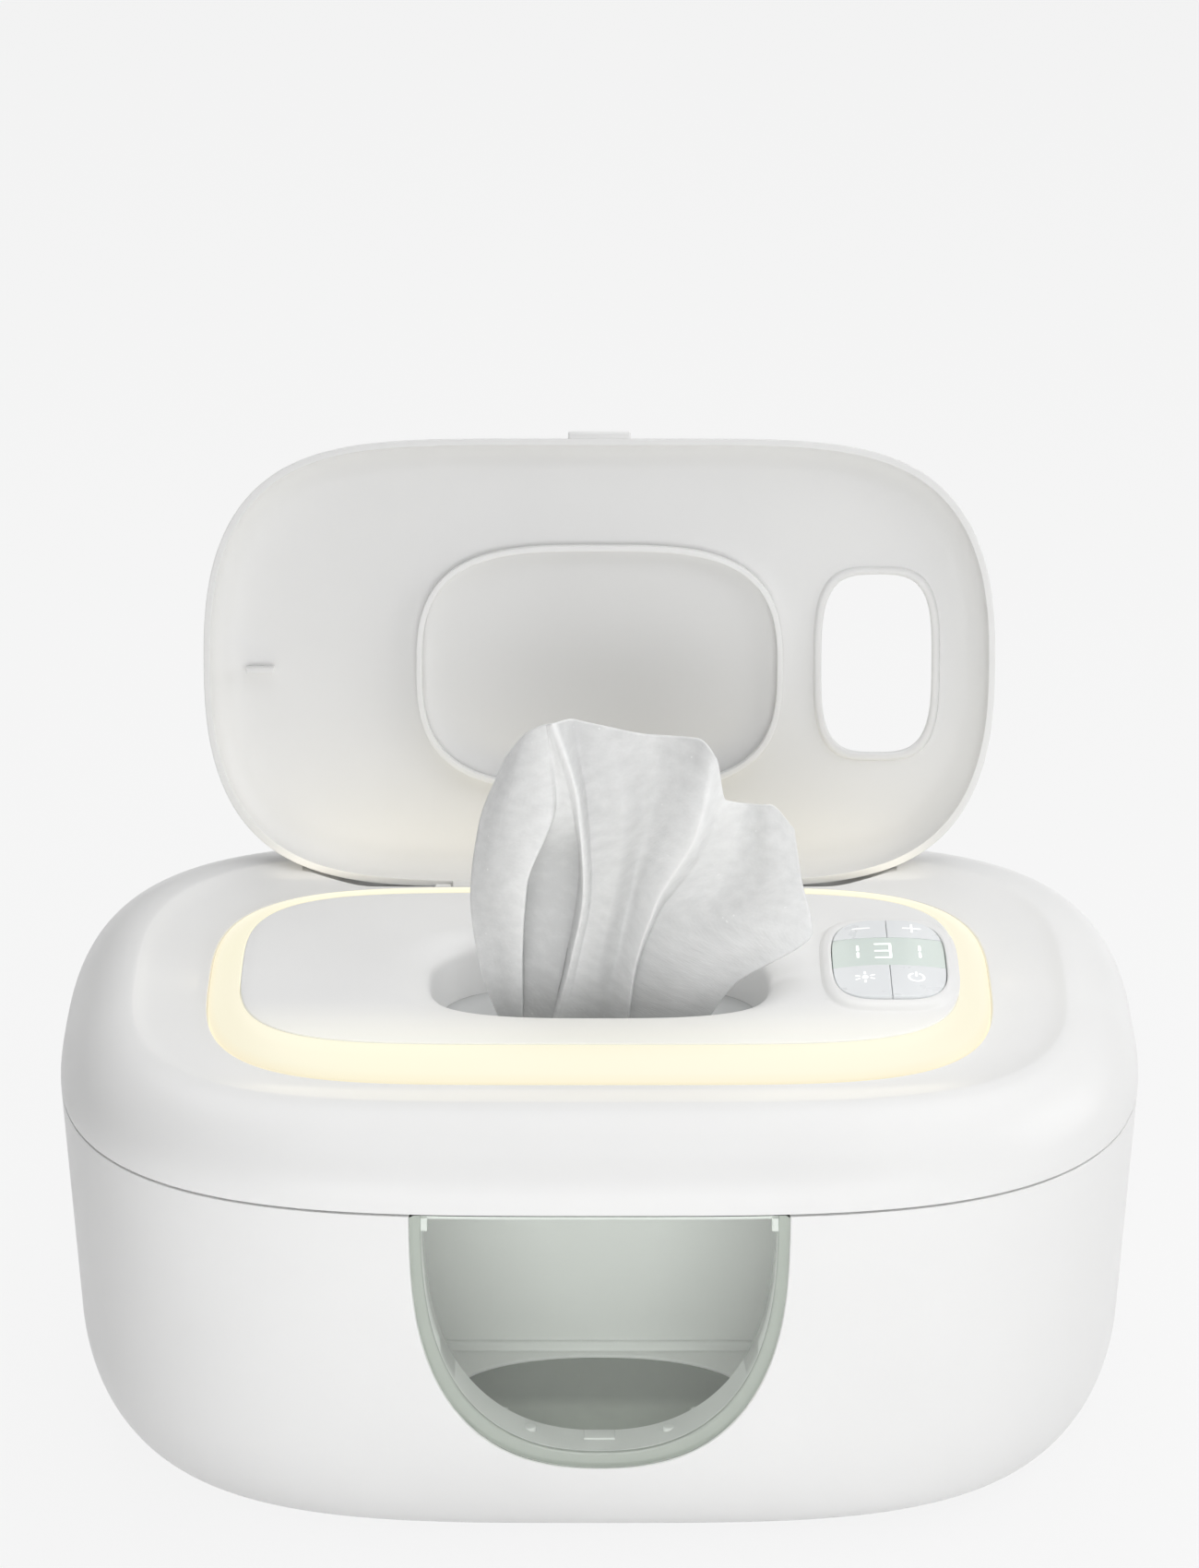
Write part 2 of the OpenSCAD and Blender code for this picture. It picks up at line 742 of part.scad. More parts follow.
function key_span_x(side) = side < 0 ? [pad_x - 20, pad_x - key_gap / 2]
    : [pad_x + key_gap / 2, pad_x + 20];
function key_span_y(row) = row < 0 ? [pad_y - 25, strip_front - key_gap]
    : [strip_back + key_gap, pad_y + 25];
function key_x(side) = pad_x + side * 6.2;
function key_y(row) = row < 0 ? -11.6 : 14.2;

module key(side, row) {
    x = key_span_x(side);
    y = key_span_y(row);
    color([0.86, 0.88, 0.89]) {
        pad_piece(x[0], x[1], y[0], y[1], key_base, key_top - 0.6);
        pad_piece(x[0] + 0.4, x[1] - 0.4, y[0] + 0.4, y[1] - 0.4, key_top - 0.7, key_top, 0.4);
        translate([key_x(side), key_y(row), switch_z + key_travel + 0.05])
            cylinder(r = 1.4, h = 1);
    }
}
module minus_key() { key(-1, 1); }
module plus_key() { key(1, 1); }
module light_key() { key(-1, -1); }
module power_key() { key(1, -1); }

module key_switches() {
    color([0.2, 0.2, 0.22])
        for (side = [-1, 1], row = [-1, 1])
            translate([key_x(side), key_y(row), board_top + seat]) {
                w = 4.6;
                translate([-w / 2, -w / 2, 0]) cube([w, w, 1.8]);
                cylinder(r = 1.3, h = switch_z - board_top - seat);
            }
}

module cover_liner() {
    color(inner_white)
        difference() {
            plate(half_w - wall - 0.7, half_d - wall - 0.7, liner_z, liner_z + 2);
            plate(mouth_a + 0.9, mouth_b + 0.9, liner_z - 1, liner_z + 3, p_mouth, q_mouth, small, 0,
                mouth_y);
            at_cover_screws() translate([0, 0, liner_z - 1]) cylinder(r = 1.6, h = 5);
            // room for the hinge leaf
            block([-knuckle_half - 0.5, half_d - 2.6 - 1, liner_z - 1],
                [knuckle_half + 0.5, half_d, liner_z + 3]);
        }
    // collar that carries the seal
    color(inner_white)
        difference() {
            plate(mouth_a + 3, mouth_b + 3, liner_z + 1, seal_z - 1.9, p_mouth, q_mouth, small, 0,
                mouth_y);
            plate(mouth_a - 3, mouth_b - 3, liner_z - 1, seal_z, p_mouth, q_mouth, small, 0, mouth_y);
        }
}

module cover_screws() {
    color(steel)
        at_cover_screws()
            translate([0, 0, liner_z - head_h - seat]) screw(9);
}

module cover_gasket() {
    color([0.7, 0.71, 0.71])
        difference() {
            plate(half_w - 7.6, half_d - 7.6, gasket_z, liner_z - seat);
            plate(half_w - 10.2, half_d - 10.2, seam_z - 3, liner_z + 2);
        }
}

module lid_hinge_pins() {
    color(steel)
        for (side = [-1, 1]) {
            x0 = side > 0 ? lug_in + 0.1 : -lug_out + 0.1;
            rod(lid_pin_r, x0, x0 + lug_out - lug_in - 0.2, lid_axis_y, lid_axis_z);
        }
}

// ---------------------------------------------------------------------------
// Wipe: a folded sheet that stands out of the mouth, fans out and leans to the right
// ---------------------------------------------------------------------------

// Columns between two fold lines, rows from foot to top, and thickness of the sheet
fold_cols = 3;
wipe_rows = 13;
wipe_thick = 0.5;
wipe_foot = 2.6;
// Fold lines of the sheet, left to right: sideways places at the foot, one third, two thirds and
// the top, height of the top above the seam, and how far forward the line lies at the last three
wipe_folds = [
    [[-21, -27.6, -27.8, -20.7], 69.3, [0, -3, -3]],
    [[-17.5, -23.3, -21.7, -15.4], 76.3, [1.5, 2.5, 1]],
    [[-14, -16.5, -12, -10.3], 79.5, [2.5, 6, 3.5]],
    [[-12, -15.5, -9.2, -9.6], 79.7, [-2, -6.5, 3.7]],
    [[-9, -7.4, -5, -8.4], 79.9, [-2, -6, 3.8]],
    [[-6, -5.9, -3.2, -7.4], 79.9, [2.5, 5, 3.5]],
    [[-3, -2.7, -0.4, -4.4], 77.6, [1.5, 1, -3]],
    [[0, 0.6, 4, 2], 76.7, [1.5, 2, -1.5]],
    [[4, 5.4, 9.8, 12.6], 75.2, [-1, -1.5, -1]],
    [[8, 7.2, 14.3, 20.6], 75.6, [0.5, 1.5, 1]],
    [[10.5, 9.7, 17, 25.2], 70.7, [3, 6.5, 4.5]],
    [[13, 11.2, 17.6, 27.7], 59.5, [-1, -1, -1]],
    [[16, 18.6, 26.3, 31.8], 57.3, [0, -2, -2.5]],
    [[19, 26.4, 36.9, 38.2], 60.8, [1.5, 2.5, 1.5]],
    [[21.5, 33, 46.4, 44.4], 53.2, [0, -1.5, -1]],
];

// The value at a share of the height of a cubic through four evenly spaced values
function cubic(p, v) =
    p[0] * (1 - 3 * v) * (2 - 3 * v) * (1 - v) / 2 + p[1] * 9 * v * (2 - 3 * v) * (1 - v) / 2
    + p[2] * 9 * v * (3 * v - 1) * (1 - v) / 2 + p[3] * v * (3 * v - 1) * (3 * v - 2) / 2;

function fold_point(f, v) = [cubic(f[0], v), mouth_y - cubic(concat([0], f[2]), v),
    seam_z + mix(wipe_foot, f[1], v)];

// The sheet's point at a column and a share of the height, eased from fold line to fold line
function wipe_point(c, v) =
    let (
        k = min(floor(c / fold_cols), len(wipe_folds) - 2),
        t = c / fold_cols - k,
        ease = t * t * (3 - 2 * t),
        left = fold_point(wipe_folds[k], v),
        right = fold_point(wipe_folds[k + 1], v)
    )
    [mix(left[0], right[0], t), mix(left[1], right[1], ease), mix(left[2], right[2], ease)];

module wipe() {
    wipe_cols = fold_cols * (len(wipe_folds) - 1);
    per = wipe_cols + 1;
    grid = [
        for (side = [0:1], r = [0:wipe_rows], c = [0:wipe_cols])
            wipe_point(c, r / wipe_rows) + [0, side * wipe_thick, 0]
    ];
    sheet = per * (wipe_rows + 1);
    sides = [
        for (r = [0:wipe_rows - 1], c = [0:wipe_cols - 1], half = [0:1], side = [0:1])
            let (
                o = side * sheet, a = o + r * per + c, b = a + 1, d = a + per, e = d + 1,
                tri = half == 0 ? [a, d, e] : [a, e, b]
            )
            side == 0 ? tri : [tri[2], tri[1], tri[0]]
    ];
    edge_rows = [
        for (r = [0:wipe_rows - 1], end = [0:1], half = [0:1])
            let (
                a = r * per + end * wipe_cols, d = a + per, a2 = a + sheet, d2 = d + sheet,
                tri = half == 0 ? [a, a2, d2] : [a, d2, d]
            )
            end == 0 ? tri : [tri[2], tri[1], tri[0]]
    ];
    edge_cols = [
        for (c = [0:wipe_cols - 1], end = [0:1], half = [0:1])
            let (
                a = end * wipe_rows * per + c, b = a + 1, a2 = a + sheet, b2 = b + sheet,
                tri = half == 0 ? [a, b, b2] : [a, b2, a2]
            )
            end == 0 ? tri : [tri[2], tri[1], tri[0]]
    ];
    color([0.97, 0.97, 0.96])
        polyhedron(points = grid, faces = concat(sides, edge_rows, edge_cols), convexity = 10);
}

// ---------------------------------------------------------------------------
// Lid, drawn closed and then turned back to the open pose
// ---------------------------------------------------------------------------

lid_a = lid_w / 2;
lid_b = lid_d / 2;
lid_top = lid_rim_z + lid_h;
lid_plate = lid_top - lid_skin;
hole_a = 12.8;
hole_b = 20.9;
hole_x = pad_x - 0.5;
rib_top = seam_z + deck_rise + 0.4;
rib_a = 42.4;
rib_b = 28.7;
rib_y = 1.4;
rib_wall = 1.3;
tab_half = 7.2;
fin_x = -75.8;

module opened() {
    translate([0, lid_axis_y, lid_axis_z])
        rotate([-lid_open, 0, 0])
            translate([0, -lid_axis_y, -lid_axis_z])
                children();
}

module lid_skin_solid() {
    function st(in, z) = [lid_a - in, lid_b - in, z, p_lid, q_lid];
    loft([
        st(0, lid_rim_z), st(0.15, lid_rim_z + 2.4), st(0.7, lid_rim_z + 4.6),
        st(2, lid_rim_z + 6.6), st(4.2, lid_rim_z + 8), st(7.6, lid_top - 0.15), st(14, lid_top),
        st(14, lid_plate), st(8, lid_plate - 0.2), st(5, lid_plate - 1.1),
        st(3, lid_plate - 2.7), st(1.9, lid_plate - 4.6), st(1.5, lid_rim_z),
    ], big, 0, lid_y, tube = true);
    plate(lid_a - 13.9, lid_b - 13.9, lid_plate, lid_top, p_lid, q_lid, big, 0, lid_y);
}

module lid_shell() {
    color(shell_white)
        opened()
            difference() {
                union() {
                    lid_skin_solid();
                    // collar round the keypad hole
                    plate(hole_a + 1.6, hole_b + 1.6, lid_plate - 1, lid_plate + 0.5, p_hole, p_hole,
                        small, hole_x, lid_hole_y);
                    // finger tab on the front edge
                    block([-tab_half, lid_y - lid_b - 1.5, lid_rim_z + 0.3],
                        [tab_half, lid_y - lid_b + 1, lid_rim_z + 2.4]);
                    // locating fin
                    block([fin_x - 3.2, lid_hole_y - 0.5, lid_plate - 3.2],
                        [fin_x + 3.3, lid_hole_y + 0.5, lid_plate + 0.3]);
                    // ears on the hinge pins
                    for (side = [-1, 1]) {
                        x0 = side > 0 ? ear_in : -ear_out;
                        rod(lid_knuckle_r, x0, x0 + ear_out - ear_in, lid_axis_y, lid_axis_z);
                        block([x0, lid_axis_y - lid_knuckle_r, lid_axis_z],
                            [x0 + ear_out - ear_in, lid_axis_y - 0.1, lid_rim_z + 2]);
                    }
                }
                for (side = [-1, 1])
                    rod(lid_pin_r + 0.05, side * 29 - 6, side * 29 + 6, lid_axis_y, lid_axis_z);
                plate(hole_a, hole_b, lid_plate - 3, lid_top + 1, p_hole, p_hole, small, hole_x,
                    lid_hole_y);
            }
}

module lid_seal_ring() {
    color([0.93, 0.93, 0.92])
        opened()
            difference() {
                plate(rib_a, rib_b, rib_top, lid_plate - seat, p_rib, q_rib, big, 0, rib_y);
                plate(rib_a - rib_wall, rib_b - rib_wall, rib_top - 1, lid_plate + 1, p_rib, q_rib,
                    big, 0, rib_y);
            }
}

lower_housing();
window_lens();
inner_tray();
heating_plate();
heater_film();
insulation_sheet();
thermal_cutout();
base_plate();
base_screws();
foot_ring();
power_board();
power_inlet();
cover_hinge_pin();
top_cover();
light_ring();
led_board();
deck();
dispensing_seal();
display_lens();
display_board();
key_switches();
cover_liner();
cover_screws();
cover_gasket();
lid_hinge_pins();
wipe();
lid_shell();
lid_seal_ring();
minus_key();
plus_key();
light_key();
power_key();
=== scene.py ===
import json
import math

import bmesh
import bpy
import numpy as np
from bpy.props import FloatProperty, FloatVectorProperty, PointerProperty
from bpy.types import Operator, Panel, PropertyGroup
from mathutils import Matrix, Vector
from mathutils.noise import noise as noise_at


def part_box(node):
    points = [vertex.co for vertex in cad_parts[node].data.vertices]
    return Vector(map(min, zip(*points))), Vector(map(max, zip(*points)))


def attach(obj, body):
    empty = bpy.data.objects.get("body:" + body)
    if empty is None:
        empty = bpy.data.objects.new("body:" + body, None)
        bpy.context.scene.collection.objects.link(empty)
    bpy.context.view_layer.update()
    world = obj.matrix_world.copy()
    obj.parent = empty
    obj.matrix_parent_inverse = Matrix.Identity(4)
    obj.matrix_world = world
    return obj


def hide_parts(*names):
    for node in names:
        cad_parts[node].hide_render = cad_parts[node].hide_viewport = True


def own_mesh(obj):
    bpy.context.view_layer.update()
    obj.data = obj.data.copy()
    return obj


bl_info = {
    "name": "Wipe Warmer",
    "version": (1, 0, 0),
    "blender": (4, 5, 0),
    "location": "View3D > Sidebar > Wipe Warmer",
    "description": "Shells, window, light ring, keypad, lid and wipe of a baby wipe warmer",
    "category": "Object",
}

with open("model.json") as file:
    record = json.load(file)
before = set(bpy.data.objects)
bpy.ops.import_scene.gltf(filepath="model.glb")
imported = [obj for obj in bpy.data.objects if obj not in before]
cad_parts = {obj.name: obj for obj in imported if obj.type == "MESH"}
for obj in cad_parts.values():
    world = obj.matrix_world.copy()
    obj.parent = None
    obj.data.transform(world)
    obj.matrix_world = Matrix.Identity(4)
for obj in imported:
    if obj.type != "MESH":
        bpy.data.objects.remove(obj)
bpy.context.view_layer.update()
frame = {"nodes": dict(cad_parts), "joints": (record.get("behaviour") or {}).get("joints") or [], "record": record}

MM = 0.001
JOINTS = {joint["name"]: joint for joint in frame["joints"]}

# Places that the frame settles
HALF_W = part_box("top_cover")[1].x
HALF_D = -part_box("top_cover")[0].y
SEAM_GAP = 0.25 * MM
SEAM_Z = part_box("lower_housing")[1].z + SEAM_GAP
BASE_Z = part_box("lower_housing")[0].z
RING_A, RING_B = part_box("light_ring")[1].xy
DECK_A, DECK_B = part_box("deck")[1].xy
LID_AXIS = Vector(JOINTS["lid_hinge"]["pos_m"])
LID_OPEN = math.radians(JOINTS["lid_hinge"]["range_deg"][1])
COVER_AXIS = Vector(JOINTS["cover_hinge"]["pos_m"])

# Heights that several pieces share
SEAT_Z = SEAM_Z + 12.05 * MM     # underside of the light ring and the deck
DISH_Z = SEAM_Z + 14.1 * MM      # the dish where it meets the light ring
SEAL_Z = SEAM_Z + 5 * MM         # top of the silicone sheet under the mouth
TRAY_Z = SEAM_Z - 60 * MM        # the tray's floor
OVER_Z = SEAM_Z + 4 * MM         # where the tools that cut the window's openings end

# The oval opening in the tray's floor, over the heating plate
WELL_A, WELL_B, WELL_Y = 34 * MM, 21 * MM, -58 * MM
WELL_PQ = (2.2, 2.2)

# The opening in the cover's floor that the deck closes
HUB_A, HUB_B = DECK_A - 1.9 * MM, DECK_B - 1.4 * MM

# The two hinges
KNUCKLE_R = 3.2 * MM             # the cover hinge's knuckles
KNUCKLE_HALF = 19.6 * MM         # half length of the cover's knuckle
KNUCKLE_GAP = 0.4 * MM           # end play, and rounding of the knuckles' rims
LEAF_DEPTH = 2.2 * MM            # how far the leaves reach into the walls
EYE_R = 1.25 * MM                # the cover's eyes round the lid's pins
EAR_R = 1.6 * MM                 # the lid's eyes round the same pins
EYE_EDGE = 0.2 * MM              # rounding of both

RIM_FOOT = 1.44                  # the window rim's thickness at its foot over that at its sides
RIM_START = 1 * MM               # lines further in than this belong to the rim's inner side

# Exponents of each outline |x/a|^p + |y/b|^q = 1
TUB_PQ = (3.5, 2.8)
CREST_PQ = (4.4, 3.0)
RING_PQ = (4.95, 3.16)
DECK_PQ = (5.4, 3.4)
MOUTH_PQ = (3.0, 2.6)
LID_PQ = (5.3, 2.5)
RIB_PQ = (3.4, 2.86)
DISH_PQ = (4.7, 3.1)
WINDOW_PQ = (2.3, 2.9)
PAD_PQ = (3.6, 3.4)
HOLE_PQ = (3.4, 3.4)
ROUND = (2, 2)

FINE = 320      # points round a large outline
MEDIUM = 192    # points round the mouth, rib and window
DENSE = 6000    # points that an outline is measured on


# ---------------------------------------------------------------------------
# Sizes and finishes that a user would change
# ---------------------------------------------------------------------------

def length(name, text, value):
    return FloatProperty(name=name, description=text, default=value, subtype="DISTANCE",
                         unit="LENGTH", precision=5)


def share(name, text, value):
    return FloatProperty(name=name, description=text, default=value, subtype="FACTOR",
                         min=0.0, max=1.0)


def colour(name, text, value):
    return FloatVectorProperty(name=name, description=text, default=value, size=3,
                               subtype="COLOR", min=0.0, max=1.0)


class WarmerTub(PropertyGroup):
    """Sizes of the tub, its window and its tray."""
    wall: length("Wall", "Thickness of the outer shells", 2.6 * MM)
    side_taper: length("Side taper", "How far the sides draw in down to the base", 4.7 * MM)
    foot_round_h: length("Foot rounding height", "Height of the rounding at the foot", 33 * MM)
    foot_round_w: length("Foot rounding width", "Width of the rounding at the foot", 23 * MM)
    window_a: length("Window half width", "Half width of the window at the seam", 40.5 * MM)
    window_h: length("Window height", "Height of the window below the seam", 63.6 * MM)
    rim: length("Window rim", "Thickness of the milky rim round the window", 2.5 * MM)
    skin: length("Window pane", "Thickness of the clear pane", 2 * MM)
    edge: length("Edge rounding", "Rounding of the shells' free edges", 0.45 * MM)


class WarmerCover(PropertyGroup):
    """Sizes of the cover, its light ring, deck and mouth."""
    shoulder_h: length("Shoulder rise", "Rise from the seam to the crest", 16.6 * MM)
    crest_w: length("Crest width", "How far the crest lies in from the ends", 16 * MM)
    crest_d: length("Crest depth", "How far the crest lies in from front and back", 21 * MM)
    crest_round: length("Crest rounding", "How far the crest's rounding reaches", 1.6 * MM)
    deck_rise: length("Deck rise", "Height of the deck above the seam", 18.2 * MM)
    mouth_a: length("Mouth half width", "Half width of the dispensing mouth", 38.4 * MM)
    mouth_b: length("Mouth half depth", "Half depth of the dispensing mouth", 22 * MM)
    mouth_y: length("Mouth place", "Where the mouth's centre lies, front to back", -3 * MM)
    lip: length("Lip", "Width of the mouth's rolled lip", 5.4 * MM)


class WarmerKeypad(PropertyGroup):
    """Sizes of the keypad and its display strip."""
    pad_x: length("Place", "Sideways place of the keypad's centre", 64.7 * MM)
    pad_y: length("Depth place", "Where the keypad's centre lies, front to back", 0.5 * MM)
    pad_a: length("Half width", "Half width of the keypad", 12.6 * MM)
    pad_b: length("Half depth", "Half depth of the keypad", 19.8 * MM)
    crown: length("Crown", "How far the keypad's middle stands over its sides", 1.0 * MM)
    gap: length("Gap", "Gap between neighbouring keys", 0.14 * MM)


class WarmerLid(PropertyGroup):
    """Sizes of the flip lid."""
    half_w: length("Half width", "Half width of the lid", 91.3 * MM)
    half_d: length("Half depth", "Half depth of the lid", 52.3 * MM)
    height: length("Height", "Height from the rim to the top", 8.9 * MM)
    centre_y: length("Centre", "Where the closed lid's centre lies", 0.7 * MM)
    rim_z: length("Rim", "Height of the closed lid's rim", SEAM_Z + 14.7 * MM)
    rib_a: length("Rib half width", "Half width of the sealing rib", 42.4 * MM)
    rib_b: length("Rib half depth", "Half depth of the sealing rib", 28.7 * MM)


class WarmerFinish(PropertyGroup):
    """Colours and gloss."""
    shell: colour("Shell", "White moulded plastic", (0.88, 0.88, 0.875))
    shell_rough: share("Shell roughness", "Roughness of the white plastic", 0.34)
    # a little darker than the shell's white: painted shade on the lid
    lid: colour("Lid", "White plastic of the flip lid", (0.85, 0.85, 0.845))
    tray: colour("Tray", "Off-white plastic inside the tub", (0.90, 0.91, 0.89))
    lens: colour("Window tint", "Grey-green tint of the clear window", (0.965, 0.98, 0.965))
    plate: colour("Heating plate", "Dark coating of the heating plate", (0.31, 0.335, 0.30))
    glow: colour("Ring light", "Warm light of the ring", (0.84, 0.805, 0.60))
    ember: colour("Ring foot", "Deeper warm light at the ring's foot", (0.85, 0.76, 0.54))
    key: colour("Keys", "Pale bluish grey keys", (0.85, 0.87, 0.885))
    strip: colour("Display", "Pale green display strip", (0.76, 0.84, 0.795))
    # the wipe's two colours also carry painted light: the paler paints highlights on ridges and cut edges, the
    # darker shade in the pocket
    wipe: colour("Wipe", "Moist cloth where it lies single", (0.68, 0.685, 0.685))
    doubled_and_highlit: colour("Wipe folds", "Moist cloth where it is creased or doubled",
                    (0.93, 0.935, 0.935))


class WarmerStage(PropertyGroup):
    """Camera and light."""
    elevation: FloatProperty(name="Elevation", description="Camera's height as an angle",
                             default=math.radians(23.7), subtype="ANGLE", unit="ROTATION")
    distance: length("Distance", "From the camera to the point it looks at", 1.367)
    look_z: length("Look height", "Height of the point that the camera looks at", 0.1516)
    focal: FloatProperty(name="Focal length", description="For a 36 mm long side",
                         default=142.26, subtype="DISTANCE_CAMERA", unit="CAMERA")
    floor: colour("Floor", "Pale floor", (0.92, 0.92, 0.92))
    backdrop: share("Backdrop", "Paleness of the floor as the camera sees it", 0.935)
    shadow: share("Shadow", "How much of the floor's own light and shadow shows", 0.07)
    studio: share("Studio light", "Strength of the even light all round", 0.285)


GROUPS = {"warmer_tub": WarmerTub, "warmer_cover": WarmerCover, "warmer_keypad": WarmerKeypad,
          "warmer_lid": WarmerLid, "warmer_finish": WarmerFinish, "warmer_stage": WarmerStage}


# ---------------------------------------------------------------------------
# Outlines and skins
# ---------------------------------------------------------------------------

def spaced(points, count):
    """Points at even steps along a closed line, from its first point."""
    closed = np.vstack([points, points[:1]])
    along = np.concatenate([[0], np.cumsum(np.linalg.norm(np.diff(closed, axis=0), axis=1))])
    at = np.linspace(0, along[-1], count, endpoint=False)
    return np.column_stack([np.interp(at, along, closed[:, k]) for k in range(closed.shape[1])])


def outline(a, b, exponents, count=FINE, centre=(0.0, 0.0)):
    """The closed outline |x/a|^p + |y/b|^q = 1 from its right end, as count rows of x, y."""
    p, q = exponents
    turn = np.linspace(0, 2 * math.pi, DENSE, endpoint=False)
    c, s = np.cos(turn), np.sin(turn)
    line = np.column_stack([a * np.sign(c) * np.abs(c) ** (2 / p),
                            b * np.sign(s) * np.abs(s) ** (2 / q)])
    return spaced(line, count) + np.array(centre)


def level(line, z):
    """A flat line at a height, as a row of points."""
    return np.column_stack([line, np.full(len(line), z)])


def upright(x, section):
    """A line of y, z at a sideways place, as a row of points."""
    return np.column_stack([np.full(len(section), x), section])


def ring(station, count=FINE, centre=(0.0, 0.0)):
    """A station [half width, half depth, height, p, q] as a row of points."""
    a, b, z, p, q = station
    return level(outline(a, b, (p, q), count, centre), z)


def rounded(stations, cuts, loop=False, steps=5):
    """Rounds the corners of a chain of stations. A cut says how far off a curve starts."""
    stations = [np.array(s, float) for s in stations]
    made = []
    for i, corner in enumerate(stations):
        if not cuts[i] or (not loop and i in (0, len(stations) - 1)):
            made.append(corner)
            continue
        ends = []
        for other in (stations[i - 1], stations[(i + 1) % len(stations)]):
            step = other - corner
            far = math.hypot((step[0] + step[1]) / 2, step[2])
            ends.append(corner + step * min(0.5, cuts[i] / far))
        for t in np.linspace(0, 1, steps + 1):
            made.append((1 - t) ** 2 * ends[0] + 2 * t * (1 - t) * corner + t ** 2 * ends[1])
    return made


def spline(stations, steps=6):
    """A smooth curve through all stations but the first and last, which only steer it."""
    pts = [np.array(s, float) for s in stations]
    made = []
    for a, b, c, d in zip(pts, pts[1:], pts[2:], pts[3:]):
        for t in np.linspace(0, 1, steps, endpoint=False):
            made.append(0.5 * (2 * b + (c - a) * t + (2 * a - 5 * b + 4 * c - d) * t ** 2
                               + (3 * b - a - 3 * c + d) * t ** 3))
    return made + [pts[-2]]


def placed(name, data):
    """A new object in the scene, which holds a mesh, lamp or camera."""
    piece = bpy.data.objects.new(name, data)
    bpy.context.scene.collection.objects.link(piece)
    return piece


def plain_object(name, points, faces, edges=()):
    """A new object with a mesh of these points, faces and edges."""
    mesh = bpy.data.meshes.new(name)
    mesh.from_pydata([tuple(p) for p in points], edges, faces)
    mesh.validate()
    return placed(name, mesh)


def outwards(piece, weld=1e-7):
    """Welds doubles and turns all faces outwards."""
    bm = bmesh.new()
    bm.from_mesh(piece.data)
    bmesh.ops.remove_doubles(bm, verts=bm.verts, dist=weld)
    bmesh.ops.recalc_face_normals(bm, faces=bm.faces)
    bm.to_mesh(piece.data)
    bm.free()
    return piece


def quads(count, n, tube=False, first=0):
    """Quads between rows of n points. A tube joins its last row to its first."""
    faces = []
    for k in range(count if tube else count - 1):
        low, high = first + k * n, first + (k + 1) % count * n
        faces += [(low + i, low + (i + 1) % n, high + (i + 1) % n, high + i) for i in range(n)]
    return faces


def skin(name, rows, tube=False):
    """A closed skin over rows of points, with flat ends unless it is a tube."""
    count, n = len(rows), len(rows[0])
    faces = quads(count, n, tube)
    if not tube:
        faces += [tuple(range(n)), tuple((count - 1) * n + i for i in reversed(range(n)))]
    return outwards(plain_object(name, np.vstack(rows), faces))


def domed_skin(name, rows):
    """A closed skin whose first and last rows are small rings round a middle."""
    n = len(rows[0])
    faces = quads(len(rows), n)
    points = [tuple(p) for row in rows for p in row]
    for row, start in ((rows[0], 0), (rows[-1], (len(rows) - 1) * n)):
        points.append(tuple(np.mean(row, axis=0)))
        middle = len(points) - 1
        faces += [(start + i, start + (i + 1) % n, middle) for i in range(n)]
    return outwards(plain_object(name, points, faces))


def loft(name, stations, count=FINE, centre=(0.0, 0.0), tube=False):
    """A closed skin over stations [half width, half depth, height, p, q]."""
    return skin(name, [ring(s, count, centre) for s in stations], tube)


CROWN_RINGS = (0.985, 0.8, 0.6, 0.4, 0.2, 0.04)     # rings of a crowned top, by their size


def prism(name, flat, z0, z1, edge=0.0, steps=4, crown=None):
    """A solid with a flat outline. Edge rounds its top rim, and crown(x, y) lowers its top."""
    flat = np.array(flat, float)
    away = inward_normals(flat)
    rows = [level(flat, z0)]
    turns = np.linspace(0, math.pi / 2, steps + 1) if edge else [math.pi / 2]
    for t in turns:
        rows.append(level(flat + away * edge * (1 - math.cos(t)), z1 - edge * (1 - math.sin(t))))
    if crown:
        middle, last = flat.mean(axis=0), rows[-1][:, :2]
        rows += [level(middle + (last - middle) * part, z1) for part in CROWN_RINGS]
        for row in rows[1:]:
            row[:, 2] -= crown(row[:, 0], row[:, 1])
    return skin(name, rows)


def inward_normals(flat):
    """Unit normals of a closed counter-clockwise line that point inside."""
    step = np.roll(flat, -1, axis=0) - np.roll(flat, 1, axis=0)
    step /= np.maximum(np.linalg.norm(step, axis=1), 1e-12)[:, None]
    return np.column_stack([-step[:, 1], step[:, 0]])


def box_piece(name, low, high, edge=0.0):
    """A block between two corners, with its edges rounded."""
    bm = bmesh.new()
    bmesh.ops.create_cube(bm, size=1.0)
    low, high = Vector(low), Vector(high)
    for v in bm.verts:
        v.co = Vector(tuple((low[i] + high[i]) / 2 + v.co[i] * (high[i] - low[i])
                            for i in range(3)))
    if edge:
        bmesh.ops.bevel(bm, geom=bm.edges[:], offset=edge, segments=3, profile=0.5,
                        affect="EDGES")
    mesh = bpy.data.meshes.new(name)
    bmesh.ops.recalc_face_normals(bm, faces=bm.faces)
    bm.to_mesh(mesh)
    bm.free()
    return placed(name, mesh)


def rod_piece(name, radius, x0, x1, y, z, edge=0.0, sides=64):
    """A round rod along X, with its ends' rims rounded."""
    turn = np.linspace(0, 2 * math.pi, sides, endpoint=False)
    marks = [(x0, radius - edge)] if edge else []
    marks += [(x0 + edge, radius), (x1 - edge, radius)]
    marks += [(x1, radius - edge)] if edge else []
    return skin(name, [upright(x, np.column_stack([y + r * np.cos(turn), z + r * np.sin(turn)]))
                       for x, r in marks])


def span(side, near, far):
    """The two ends of a stretch on the left (-1) or right (1), in order."""
    return sorted((side * near, side * far))


